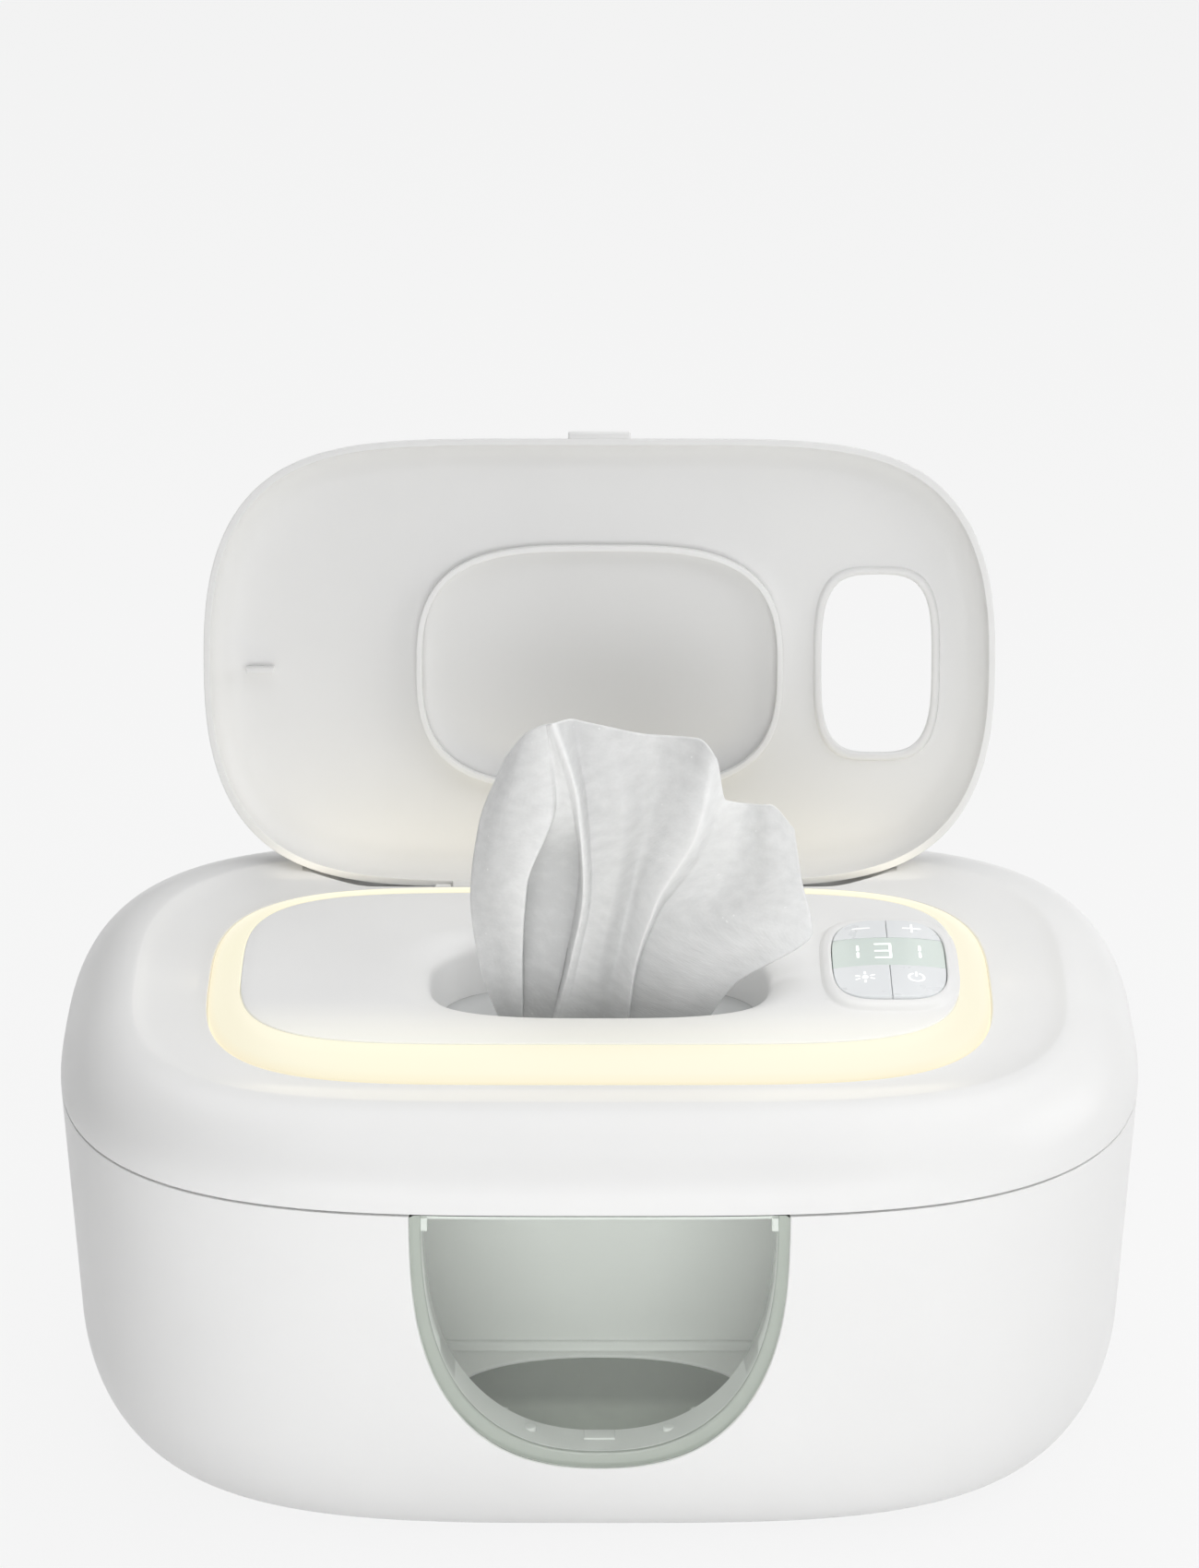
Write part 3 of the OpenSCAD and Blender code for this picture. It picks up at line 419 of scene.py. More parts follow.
def baked(piece):
    """Replaces a piece's mesh by what its modifiers make of it."""
    bpy.context.view_layer.update()
    shown = piece.evaluated_get(bpy.context.evaluated_depsgraph_get())
    mesh = bpy.data.meshes.new_from_object(shown)
    old = piece.data
    piece.modifiers.clear()
    piece.data = mesh
    bpy.data.meshes.remove(old)
    return piece


def carve(piece, tool, how="DIFFERENCE"):
    """Cuts a tool from a piece, or joins it on, and removes the tool."""
    step = piece.modifiers.new("carve", "BOOLEAN")
    step.operation = how
    step.object = tool
    step.solver = "EXACT"
    baked(piece)
    bpy.data.objects.remove(tool)
    return piece


def add(piece, tool):
    """Joins a tool on to a piece."""
    return carve(piece, tool, "UNION")


def shade(piece, angle=38):
    """Smooth faces with sharp edges past an angle."""
    bm = bmesh.new()
    bm.from_mesh(piece.data)
    bmesh.ops.dissolve_degenerate(bm, edges=bm.edges, dist=1e-7)
    limit = math.radians(angle)
    for face in bm.faces:
        face.smooth = True
    for edge in bm.edges:
        edge.smooth = len(edge.link_faces) != 2 or edge.calc_face_angle(0.0) < limit
    bm.to_mesh(piece.data)
    bm.free()
    return piece


def dress(piece, material):
    """Gives a piece one material."""
    piece.data.materials.clear()
    piece.data.materials.append(material)


def finished(piece, material, body, nodes=(), angle=38):
    """Shades a piece, gives it its material and hands it to its body."""
    shade(piece, angle)
    dress(piece, material)
    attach(piece, body)
    if nodes:
        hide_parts(*nodes)
    return piece


# ---------------------------------------------------------------------------
# Repeats, made with Geometry Nodes
# ---------------------------------------------------------------------------

def new_tree(name, sizes):
    """A tree with named inputs for its sizes and its material, and what makes its nodes."""
    tree = bpy.data.node_groups.new(name, "GeometryNodeTree")
    tree.interface.new_socket("Geometry", in_out="INPUT", socket_type="NodeSocketGeometry")
    for label in sizes:
        tree.interface.new_socket(label, in_out="INPUT", socket_type="NodeSocketFloat")
    tree.interface.new_socket("Material", in_out="INPUT", socket_type="NodeSocketMaterial")
    tree.interface.new_socket("Geometry", in_out="OUTPUT", socket_type="NodeSocketGeometry")
    start = tree.nodes.new("NodeGroupInput")

    def node(kind, settings=None, **links):
        made = tree.nodes.new(kind)
        for key, value in (settings or {}).items():
            setattr(made, key, value)
        for label, source in links.items():
            socket = made.inputs[label.replace("_", " ")]
            if isinstance(source, (int, float, tuple)):
                socket.default_value = source
            else:
                tree.links.new(source, socket)
        return made

    def close(mesh):
        """Realize Instances and Set Material, which end every tree."""
        real = node("GeometryNodeRealizeInstances", Geometry=mesh)
        coated = node("GeometryNodeSetMaterial", Geometry=real.outputs["Geometry"],
                      Material=start.outputs["Material"])
        end = tree.nodes.new("NodeGroupOutput")
        tree.links.new(coated.outputs["Geometry"], end.inputs["Geometry"])
        return tree

    return start, node, close


def band_tree():
    """A band with rounded corners that follows a closed line."""
    start, node, close = new_tree("Band along a line", ("Width", "Height", "Rounding"))
    line = node("GeometryNodeMeshToCurve", Mesh=start.outputs["Geometry"])
    path = node("GeometryNodeSetCurveNormal", {"mode": "Z_UP"}, Curve=line.outputs["Curve"])
    section = node("GeometryNodeCurvePrimitiveQuadrilateral", Width=start.outputs["Width"],
                   Height=start.outputs["Height"])
    eased_section = node("GeometryNodeFilletCurve", {"mode": "POLY"},
                         Curve=section.outputs["Curve"], Radius=start.outputs["Rounding"], Count=4)
    swept = node("GeometryNodeCurveToMesh", Curve=path.outputs["Curve"],
                 Profile_Curve=eased_section.outputs["Curve"])
    return close(swept.outputs["Mesh"])


def screw_tree():
    """A pan-head screw with a cross recess, head down, on every point."""
    sizes = ("Head radius", "Head height", "Shank radius", "Length", "Recess")
    start, node, close = new_tree("Screws on points", sizes)
    size = start.outputs

    def times(socket, factor):
        product = node("ShaderNodeMath", {"operation": "MULTIPLY"})
        product.id_data.links.new(socket, product.inputs[0])
        product.inputs[1].default_value = factor
        return product.outputs["Value"]

    def raised(mesh, height):
        place = node("ShaderNodeCombineXYZ", Z=height)
        return node("GeometryNodeTransform", Geometry=mesh,
                    Translation=place.outputs["Vector"]).outputs["Geometry"]

    rim = node("GeometryNodeMeshCone", Vertices=32, Radius_Top=size["Head radius"],
               Radius_Bottom=times(size["Head radius"], 0.8),
               Depth=times(size["Head height"], 0.4))
    head = node("GeometryNodeMeshCylinder", Vertices=32, Radius=size["Head radius"],
                Depth=times(size["Head height"], 0.62))
    shank = node("GeometryNodeMeshCylinder", Vertices=24, Radius=size["Shank radius"],
                 Depth=times(size["Length"], 0.96))
    solid = node("GeometryNodeMeshBoolean", {"operation": "UNION", "solver": "EXACT"})
    parts = [rim.outputs["Mesh"], raised(head.outputs["Mesh"], times(size["Head height"], 0.69)),
             raised(shank.outputs["Mesh"], times(size["Length"], 0.52))]
    for part in parts:
        solid.id_data.links.new(part, solid.inputs["Mesh 2"])
    cut = node("GeometryNodeMeshBoolean", {"operation": "DIFFERENCE", "solver": "EXACT"},
               Mesh_1=solid.outputs["Mesh"])
    for across in ("X", "Y"):
        extent = node("ShaderNodeCombineXYZ", X=times(size["Recess"], 0.22),
                      Y=times(size["Recess"], 0.22), Z=size["Head height"])
        cut.id_data.links.new(size["Recess"], extent.inputs[across])
        bar = node("GeometryNodeMeshCube", Size=extent.outputs["Vector"])
        cut.id_data.links.new(bar.outputs["Mesh"], cut.inputs["Mesh 2"])
    copies = node("GeometryNodeInstanceOnPoints", Points=start.outputs["Geometry"],
                  Instance=cut.outputs["Mesh"])
    return close(copies.outputs["Instances"])


def grown(name, points, edges, tree, sizes, material):
    """Runs a tree over points and edges and keeps what it makes as a plain mesh."""
    piece = plain_object(name, points, [], edges)
    step = piece.modifiers.new("tree", "NODES")
    step.node_group = tree
    sockets = {item.name: item.identifier for item in tree.interface.items_tree
               if item.in_out == "INPUT"}
    for label, value in sizes.items():
        step[sockets[label]] = value
    step[sockets["Material"]] = material
    return outwards(baked(piece))


def band(name, a, b, exponents, low, high, width, rounding, material, centre=(0.0, 0.0)):
    """A band between two heights, whose outer line has these half sizes."""
    line = outline(a, b, exponents, FINE, centre)
    line += inward_normals(line) * width / 2
    edges = [(i, (i + 1) % FINE) for i in range(FINE)]
    sizes = {"Width": width, "Height": high - low, "Rounding": rounding}
    return grown(name, level(line, (low + high) / 2), edges, band_tree(), sizes, material)


def screws(name, places, z, material):
    """Pan-head screws on the underside of what they hold."""
    sizes = {"Head radius": 2.8 * MM, "Head height": 1 * MM, "Shank radius": 1.25 * MM,
             "Length": 9 * MM, "Recess": 3.4 * MM}
    points = [(x * MM, y * MM, z) for x, y in places]
    return grown(name, points, [], screw_tree(), sizes, material)


# ---------------------------------------------------------------------------
# Materials
# ---------------------------------------------------------------------------

DEEP = (0.002, 0.002, 0.002)     # how far light reaches into milky plastic, rubber and cloth


def shader(name):
    """A new material with its Principled shader."""
    material = bpy.data.materials.new(name)
    material.use_nodes = True
    tree = material.node_tree
    main = next(n for n in tree.nodes if n.type == "BSDF_PRINCIPLED")
    return material, tree, main


def dial(node, **values):
    """Sets inputs that are the same all over. An underscore stands for a space."""
    for label, value in values.items():
        label = label.replace("_", " ")
        node.inputs[label].default_value = (*value, 1.0) if label.endswith("Color") else value


def noise(tree, size, detail=3.0, rough=0.5):
    """Noise over the object's own coordinates, with features of a size in metres."""
    place = tree.nodes.new("ShaderNodeTexCoord")
    spots = tree.nodes.new("ShaderNodeTexNoise")
    dial(spots, Scale=1.0 / size, Detail=detail, Roughness=rough)
    tree.links.new(place.outputs["Object"], spots.inputs["Vector"])
    return spots


def ramp(tree, source, start, end, low=0.0, high=1.0, kind="LINEAR"):
    """A value that runs from low to high as its source runs from start to end."""
    reach = tree.nodes.new("ShaderNodeMapRange")
    reach.interpolation_type = kind
    dial(reach, From_Min=start, From_Max=end, To_Min=low, To_Max=high)
    tree.links.new(source, reach.inputs["Value"])
    return reach.outputs["Result"]


def own_axis(tree, axis):
    """The object's own X, Y or Z."""
    place = tree.nodes.new("ShaderNodeTexCoord")
    parts = tree.nodes.new("ShaderNodeSeparateXYZ")
    tree.links.new(place.outputs["Object"], parts.inputs["Vector"])
    return parts.outputs[axis]


def reckoned(tree, operation, one, two):
    """What a Math node makes of two sockets or numbers."""
    node = tree.nodes.new("ShaderNodeMath")
    node.operation = operation
    for socket, value in zip(node.inputs, (one, two)):
        if isinstance(value, float):
            socket.default_value = value
        else:
            tree.links.new(value, socket)
    return node.outputs["Value"]


def colour_blend(tree, factor, socket, one=(0.0, 0.0, 0.0), two=(0.0, 0.0, 0.0)):
    """Sends a blend of two colours to a socket."""
    blend = tree.nodes.new("ShaderNodeMix")
    blend.data_type = "RGBA"
    blend.inputs["A"].default_value = (*one, 1.0)
    blend.inputs["B"].default_value = (*two, 1.0)
    tree.links.new(factor, blend.inputs["Factor"])
    tree.links.new(blend.outputs["Result"], socket)
    return blend


def shader_blend(tree, factor, one, two):
    """Shows one shader where a factor is 0 and the other where it is 1."""
    both = tree.nodes.new("ShaderNodeMixShader")
    tree.links.new(factor, both.inputs["Fac"])
    tree.links.new(one, both.inputs[1])
    tree.links.new(two, both.inputs[2])
    out = next(n for n in tree.nodes if n.type == "OUTPUT_MATERIAL")
    tree.links.new(both.outputs["Shader"], out.inputs["Surface"])


def spread(tree, source, low, high, socket):
    """Sends a noise to a socket as values between low and high."""
    tree.links.new(ramp(tree, source, 0.3, 0.7, low, high), socket)


def tinted(tree, source, one, two, socket):
    """Sends a noise to a colour socket as a blend of two colours."""
    colour_blend(tree, ramp(tree, source, 0.3, 0.7), socket, one, two)


def bumped(tree, source, main, height, strength=1.0):
    """Raises a shader's surface by a noise, as high as a height in metres."""
    bump = tree.nodes.new("ShaderNodeBump")
    dial(bump, Strength=strength, Distance=height)
    tree.links.new(source, bump.inputs["Height"])
    tree.links.new(bump.outputs["Normal"], main.inputs["Normal"])


def darker(tone, factor):
    """A colour times a factor, which may also be over 1."""
    return tuple(c * factor for c in tone)


def moulded(name, tone, rough, grain=0.25 * MM, height=0.004 * MM, shift=0.975, coat=0.0,
            gloss=0.5):
    """Moulded plastic: a slight tone drift, uneven gloss and a fine grain."""
    material, tree, main = shader(name)
    drift = noise(tree, 45 * MM, 2.0)
    tinted(tree, drift.outputs["Fac"], darker(tone, shift), tone, main.inputs["Base Color"])
    wear = noise(tree, 6 * MM, 4.0)
    spread(tree, wear.outputs["Fac"], rough - 0.04, rough + 0.04, main.inputs["Roughness"])
    fine = noise(tree, grain, 2.0)
    bumped(tree, fine.outputs["Fac"], main, height, 0.5)
    dial(main, IOR=1.46, Specular_IOR_Level=gloss, Coat_Weight=coat, Coat_Roughness=0.12)
    return material


def clear_plastic(name, tint):
    """Clear tinted plastic with a faint waviness, which lets the lamps' light through."""
    material, tree, main = shader(name)
    dial(main, Base_Color=tint, Transmission_Weight=1.0, IOR=1.49)
    haze = noise(tree, 12 * MM, 3.0)
    spread(tree, haze.outputs["Fac"], 0.0, 0.01, main.inputs["Roughness"])
    wave = noise(tree, 9 * MM, 1.0)
    bumped(tree, wave.outputs["Fac"], main, 0.002 * MM, 0.3)
    path = tree.nodes.new("ShaderNodeLightPath").outputs
    lit = reckoned(tree, "MAXIMUM", path["Is Shadow Ray"], path["Is Diffuse Ray"])
    through = tree.nodes.new("ShaderNodeBsdfTransparent")
    dial(through, Color=tint)
    shader_blend(tree, lit, main.outputs["BSDF"], through.outputs["BSDF"])
    return material


def lit_diffuser(name, tone, ember):
    """Milky light guide, lit from behind a little unevenly and warmer at its foot."""
    material, tree, main = shader(name)
    dial(main, Base_Color=(0.12, 0.12, 0.11), Emission_Strength=1.0)
    even = noise(tree, 60 * MM, 1.0)
    rise = ramp(tree, own_axis(tree, "Z"), SEAM_Z + 13.7 * MM, SEAM_Z + 15.4 * MM)
    upper = colour_blend(tree, rise, main.inputs["Emission Color"], ember)
    tinted(tree, even.outputs["Fac"], (tone[0], tone[1] * 0.98, tone[2] * 1.03), tone,
           upper.inputs["B"])
    spread(tree, even.outputs["Fac"], 0.38, 0.46, main.inputs["Roughness"])
    return material


def painted_ring_glow(material, tone):
    """Paints the ring's light on to the deck as a glow of the deck's own, stronger towards its front edge."""
    tree = material.node_tree
    main = next(n for n in tree.nodes if n.type == "BSDF_PRINCIPLED")
    # painted light: the deck glows more towards its front edge, though it is no lamp
    near = ramp(tree, own_axis(tree, "Y"), -15 * MM, -DECK_B, kind="SMOOTHSTEP")
    colour_blend(tree, near, main.inputs["Emission Color"], two=tone)
    dial(main, Emission_Strength=1.0)
    return material


def milky_plastic(name, tone):
    """Clear plastic that is matt and milky inside, such as the deep rim behind the window."""
    material, tree, main = shader(name)
    cloud = noise(tree, 10 * MM, 3.0)
    tinted(tree, cloud.outputs["Fac"], darker(tone, 0.96), tone, main.inputs["Base Color"])
    dial(main, Subsurface_Weight=0.15, Subsurface_Radius=DEEP, IOR=1.49)
    spread(tree, cloud.outputs["Fac"], 0.16, 0.24, main.inputs["Roughness"])
    bumped(tree, noise(tree, 0.4 * MM).outputs["Fac"], main, 0.004 * MM, 0.4)
    return material


def lit_print(name, tone, strength):
    """White symbols with a little light of their own."""
    material, tree, main = shader(name)
    dial(main, Base_Color=(0.9, 0.9, 0.9), Emission_Color=tone, Emission_Strength=strength)
    edge = noise(tree, 1.5 * MM, 2.0)
    spread(tree, edge.outputs["Fac"], 0.45, 0.6, main.inputs["Roughness"])
    return material


def plated(name, tone, rough):
    """Plated steel with fine turning marks."""
    material, tree, main = shader(name)
    dial(main, Base_Color=tone, Metallic=1.0)
    marks = noise(tree, 0.4 * MM, 4.0)
    spread(tree, marks.outputs["Fac"], rough - 0.08, rough + 0.1, main.inputs["Roughness"])
    bumped(tree, marks.outputs["Fac"], main, 0.002 * MM, 0.4)
    return material


def soft_rubber(name, tone, rough=0.6, light=0.0):
    """Silicone or rubber: matte, a little cloudy."""
    material, tree, main = shader(name)
    cloud = noise(tree, 8 * MM, 3.0)
    tinted(tree, cloud.outputs["Fac"], darker(tone, 0.94), tone, main.inputs["Base Color"])
    spread(tree, cloud.outputs["Fac"], rough - 0.05, rough + 0.06, main.inputs["Roughness"])
    dust = noise(tree, 0.3 * MM, 2.0)
    bumped(tree, dust.outputs["Fac"], main, 0.006 * MM, 0.4)
    dial(main, Subsurface_Weight=light, Subsurface_Radius=DEEP)
    return material


def coated_plate(name, tone):
    """Dark coated metal with a faint mottle, and the window's light painted on as a paler part towards the window.
    """
    material, tree, main = shader(name)
    mottle = noise(tree, 4 * MM, 4.0)
    # painted light from the window: the part of the plate nearest the window is paler
    near = ramp(tree, own_axis(tree, "Y"), -54 * MM, -61 * MM, kind="SMOOTHSTEP")
    blend = colour_blend(tree, near, main.inputs["Base Color"])
    tinted(tree, mottle.outputs["Fac"], darker(tone, 0.9), tone, blend.inputs["A"])
    tinted(tree, mottle.outputs["Fac"], darker(tone, 1.35), darker(tone, 1.5), blend.inputs["B"])
    spread(tree, mottle.outputs["Fac"], 0.36, 0.46, main.inputs["Roughness"])
    bumped(tree, noise(tree, 0.35 * MM).outputs["Fac"], main, 0.01 * MM, 0.5)
    return material


def moist_cloth(name, single_and_shaded, doubled_and_highlit):
    """Moist non-woven cloth: paler where it is doubled and where its ridges and cut edges carry a painted
    highlight, darker where its pocket carries painted shade; mottled, with dots and specks.
    """
    material, tree, main = shader(name)
    uv = tree.nodes.new("ShaderNodeUVMap")
    uv.uv_map = "cloth"

    def pattern(kind, across, up, **settings):
        """A texture whose features measure so much across and up the cloth."""
        scale = tree.nodes.new("ShaderNodeMapping")
        dial(scale, Scale=(1 / across, 1 / up, 1.0))
        tree.links.new(uv.outputs["UV"], scale.inputs["Vector"])
        node = tree.nodes.new(kind)
        dial(node, Scale=1.0, **settings)
        tree.links.new(scale.outputs["Vector"], node.inputs["Vector"])
        return node

    def mixed(operation, one, two):
        return reckoned(tree, operation, one, two)

    # the body attribute paints highlights on ridges and cut edges and shade in the pocket, as well as doubled
    # cloth
    body = tree.nodes.new("ShaderNodeAttribute")
    body.attribute_name = "body"
    blotch = pattern("ShaderNodeTexNoise", 3.6 * MM, 3 * MM, Detail=4.0)
    fibre = pattern("ShaderNodeTexNoise", 0.7 * MM, 0.55 * MM, Detail=3.0)
    cloud = mixed("MULTIPLY", mixed("SUBTRACT", blotch.outputs["Fac"], 0.5), 0.75)
    hair = mixed("MULTIPLY", mixed("SUBTRACT", fibre.outputs["Fac"], 0.5), 0.22)
    doubling_and_painted_light = mixed("ADD", body.outputs["Fac"], mixed("ADD", cloud, hair))
    speck = pattern("ShaderNodeTexVoronoi", 4.5 * MM, 4.5 * MM)
    dot = ramp(tree, speck.outputs["Distance"], 0.035, 0.07, 0.5, 0.0)
    colour_blend(tree, mixed("ADD", doubling_and_painted_light, dot), main.inputs["Base Color"], single_and_shaded, doubled_and_highlit)
    rows = pattern("ShaderNodeTexVoronoi", 1.1 * MM, 1.1 * MM, Randomness=0.35)
    relief = mixed("ADD", mixed("MULTIPLY", rows.outputs["Distance"], 0.6), fibre.outputs["Fac"])
    bumped(tree, mixed("ADD", relief, blotch.outputs["Fac"]), main, 0.09 * MM, 0.7)
    spread(tree, blotch.outputs["Fac"], 0.62, 0.42, main.inputs["Roughness"])
    dial(main, Subsurface_Weight=0.12, Subsurface_Radius=DEEP)
    return material


def finishes(context):
    """All materials, made once, by the record's slot names or for a piece of its own finish."""
    if "warmer_made" in context.scene:
        return {m["warmer_slot"]: m for m in bpy.data.materials if "warmer_slot" in m}
    f = context.scene.warmer_finish
    made = {
        "white_shell": moulded("White shell", tuple(f.shell), f.shell_rough, gloss=0.3),
        # the deck's white, with the ring's light painted on it as a warm glow towards its front edge
        "deck_shell": painted_ring_glow(moulded("Deck shell", tuple(f.shell), f.shell_rough, gloss=0.3),
                               (0.135, 0.125, 0.07)),
        # the lid's darker white is painted shade
        "lid_shell": moulded("Lid shell", tuple(f.lid), f.shell_rough, gloss=0.3),
        "milky_rim": milky_plastic("Milky window rim", (0.88, 0.895, 0.875)),
        # a darker copy of the milky rim's plastic: painted shade at the pane's edge
        "edge_shade_plastic": milky_plastic("Window edge", (0.50, 0.525, 0.49)),
        "tray_plastic": moulded("Tray plastic", tuple(f.tray), 0.48, height=0.01 * MM),
        "clear_lens": clear_plastic("Clear window", tuple(f.lens)),
        "dark_plate": coated_plate("Heating plate coating", tuple(f.plate)),
        "heater_film": moulded("Amber film", (0.45, 0.20, 0.05), 0.3),
        "insulation": moulded("Foam", (0.6, 0.6, 0.58), 0.9, grain=1 * MM, height=0.1 * MM),
        "black_plastic": moulded("Black plastic", (0.012, 0.012, 0.014), 0.42),
        "steel": plated("Plated steel", (0.62, 0.63, 0.64), 0.3),
        "grey_rubber": soft_rubber("Foot rubber", (0.22, 0.23, 0.23), 0.75),
        "circuit_board": moulded("Board", (0.02, 0.11, 0.06), 0.35),
        "light_guide": lit_diffuser("Light guide", tuple(f.glow), tuple(f.ember)),
        "silicone_seal": soft_rubber("Silicone", (0.60, 0.61, 0.61), 0.5, 0.1),
        "display_window": moulded("Display window", tuple(f.strip), 0.2, coat=0.3),
        "key_plastic": moulded("Key plastic", tuple(f.key), 0.3, coat=0.2),
        # paler than the lid's white, which paints the light that falls on the rib
        "lid_rib": moulded("Sealing rib", (0.92, 0.92, 0.915), 0.42),
        "wipe_cloth": moist_cloth("Wipe cloth", tuple(f.wipe), tuple(f.doubled_and_highlit)),
        "print": lit_print("Key print", (1.0, 1.0, 1.0), 0.3),
        "digits": lit_print("Digits", (1.0, 1.0, 1.0), 0.6),
    }
    for slot, material in made.items():
        material["warmer_slot"] = slot
    context.scene["warmer_made"] = True
    return made


# ---------------------------------------------------------------------------
# Tub
# ---------------------------------------------------------------------------

def foot_inset(t, z):
    """How far the tub's side is drawn in at a height."""
    rise = SEAM_Z - BASE_Z
    u = np.clip((BASE_Z + t.foot_round_h - z) / t.foot_round_h, 0, 1)
    return t.side_taper * (SEAM_Z - z) / rise + t.foot_round_w * (1 - np.sqrt(1 - u * u))


def tub_station(t, z, inwards=0.0):
    """Station of the tub's outside at a height, or further inwards."""
    drawn = float(foot_inset(t, z)) + inwards
    return [HALF_W - drawn, HALF_D - drawn, z, *TUB_PQ]


def tub_front(t, x, z, inwards=0.0):
    """Y of the tub's front surface at a place."""
    drawn = foot_inset(t, z) + inwards
    a, b = HALF_W - drawn, HALF_D - drawn
    p, q = TUB_PQ
    return -b * (1 - np.abs(x / a) ** p) ** (1 / q)


def window_line(t, grow=0.0, top=SEAM_Z, count=MEDIUM, corner=0.0):
    """The window's outline in X and Z: half of a closed curve that hangs from the seam."""
    deeper = RIM_FOOT if grow < -RIM_START else 1.0
    a, h = t.window_a + grow, t.window_h + grow * deeper
    turn = np.linspace(math.pi, 2 * math.pi, DENSE)
    c, s = np.cos(turn), np.sin(turn)
    p, q = WINDOW_PQ
    x = a * np.sign(c) * np.abs(c) ** (2 / p)
    z = SEAM_Z - h * np.abs(s) ** (2 / q)
    keep = z < top - corner
    x, z = x[keep], z[keep]
    line = [np.column_stack([x, z])]
    side = x[-1]
    if corner:
        turn = np.linspace(0, math.pi / 2, 9)[1:]
        right = np.column_stack([side - corner + corner * np.cos(turn),
                                 top - corner + corner * np.sin(turn)])
        line += [right, right[::-1] * np.array([-1, 1])]
    else:
        line += [np.array([[side, top], [-side, top]])]
    line = np.vstack(line)
    # start at the foot, so that rows of different outlines line up
    start = int(np.argmin(line[:, 1] + np.abs(line[:, 0]) * 1e-3))
    return spaced(np.roll(line, -start, axis=0), count)


def window_rows(t, marks, top, corner=0.0):
    """Rows of points for marks (outwards, depth behind the tub's front, fixed y or None, drop)."""
    rows = []
    for grow, depth, fixed, *drop in marks:
        line = window_line(t, grow, top - sum(drop), corner=corner)
        y = np.full(len(line), fixed) if fixed is not None else \
            tub_front(t, line[:, 0], np.minimum(line[:, 1], SEAM_Z)) + depth
        rows.append(np.column_stack([line[:, 0], y, line[:, 1]]))
    return rows


def quarter(radius, steps=5):
    """Marks (outwards, depth) of a rounded edge."""
    return [(radius * (1 - math.sin(t)), radius * (1 - math.cos(t)))
            for t in np.linspace(0, math.pi / 2, steps + 1)]


def window_cutter(t, back):
    """The tool that cuts the window's opening, with a rounded edge, from the tub's front."""
    edge = t.edge
    marks = [(edge, 0, -HALF_D - 4 * MM), (edge, -0.3 * MM, None)]
    marks += [(out, depth, None) for out, depth in quarter(edge)]
    marks += [(0.0, 0, back)]
    return skin("window_cutter", window_rows(t, marks, OVER_Z))


class WARMER_OT_tub(Operator):
    """Make the tub's outer shell, with its window cut-out and hinge knuckles"""
    bl_idname = "warmer.tub"
    bl_label = "Tub"

    def execute(self, context):
        t = context.scene.warmer_tub
        # the hole in the floor that the base plate closes, with a ledge for the plate
        a, b, ledge = HALF_W - 36 * MM, HALF_D - 36 * MM, 5.4 * MM
        low, high = BASE_Z + 2 * MM, BASE_Z + 4.6 * MM
        # the rim, with a step inside that the tray's flange lies on
        rim = SEAM_Z - SEAM_GAP
        step, step_w = SEAM_Z - 3.3 * MM, 1.8 * MM
        turns = np.linspace(math.pi / 2, 0, 26)
        side = [tub_station(t, BASE_Z + t.foot_round_h * (1 - math.sin(turn))) for turn in turns]
        heights = np.linspace(BASE_Z + t.foot_round_h, rim, 8)[1:-1]
        corners = [tub_station(t, rim), tub_station(t, rim, t.wall),
                   tub_station(t, step, t.wall), tub_station(t, step, t.wall + step_w)]
        inner = [tub_station(t, BASE_Z + t.foot_round_h * (1 - math.sin(turn)) + 1 * MM,
                             t.wall + 0.4 * MM) for turn in turns[::-1][:-8]]
        stations = [[a + ledge, b + ledge, BASE_Z, *TUB_PQ], *side,
                    *[tub_station(t, z) for z in heights]]
        stations += rounded([stations[-1], *corners, inner[0]],
                            [0, 0.2 * MM, 0.8 * MM, 0, 0, 0])[1:]
        stations += [*inner[1:], [a, b, high, *TUB_PQ], [a, b, low, *TUB_PQ],
                     [a + ledge, b + ledge, low, *TUB_PQ]]
        tub = loft("tub_shell", stations, tube=True)
        carve(tub, window_cutter(t, -HALF_D + 16 * MM))
        self.hinge(tub)
        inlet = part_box("power_inlet")
        room = Vector((0.05 * MM, 3 * MM, 0.05 * MM))
        carve(tub, box_piece("inlet_room", inlet[0] - room, inlet[1] + room))
        finished(tub, finishes(context)["white_shell"], "tub", ["lower_housing"])
        return {"FINISHED"}

    def hinge(self, tub):
        """A notch for the cover's knuckle, and a knuckle on a leaf at each side of it."""
        y, z = COVER_AXIS.yz
        near, far, bore = KNUCKLE_HALF + KNUCKLE_GAP, 34 * MM, 1.53 * MM
        carve(tub, box_piece("notch", (-near, HALF_D - 2.7 * MM, z - KNUCKLE_R - 0.5 * MM),
                             (near, HALF_D + 6 * MM, SEAM_Z + 1 * MM), KNUCKLE_GAP))
        for side in (-1, 1):
            x0, x1 = span(side, near, far)
            add(tub, box_piece("leaf", (x0, HALF_D - LEAF_DEPTH, z - KNUCKLE_R),
                               (x1, y, z + 1 * MM)))
            add(tub, rod_piece("knuckle", KNUCKLE_R, x0, x1, y, z, KNUCKLE_GAP))
            carve(tub, rod_piece("pin_hole", bore, x0 - 1 * MM, x1 + 1 * MM, y, z, sides=32))


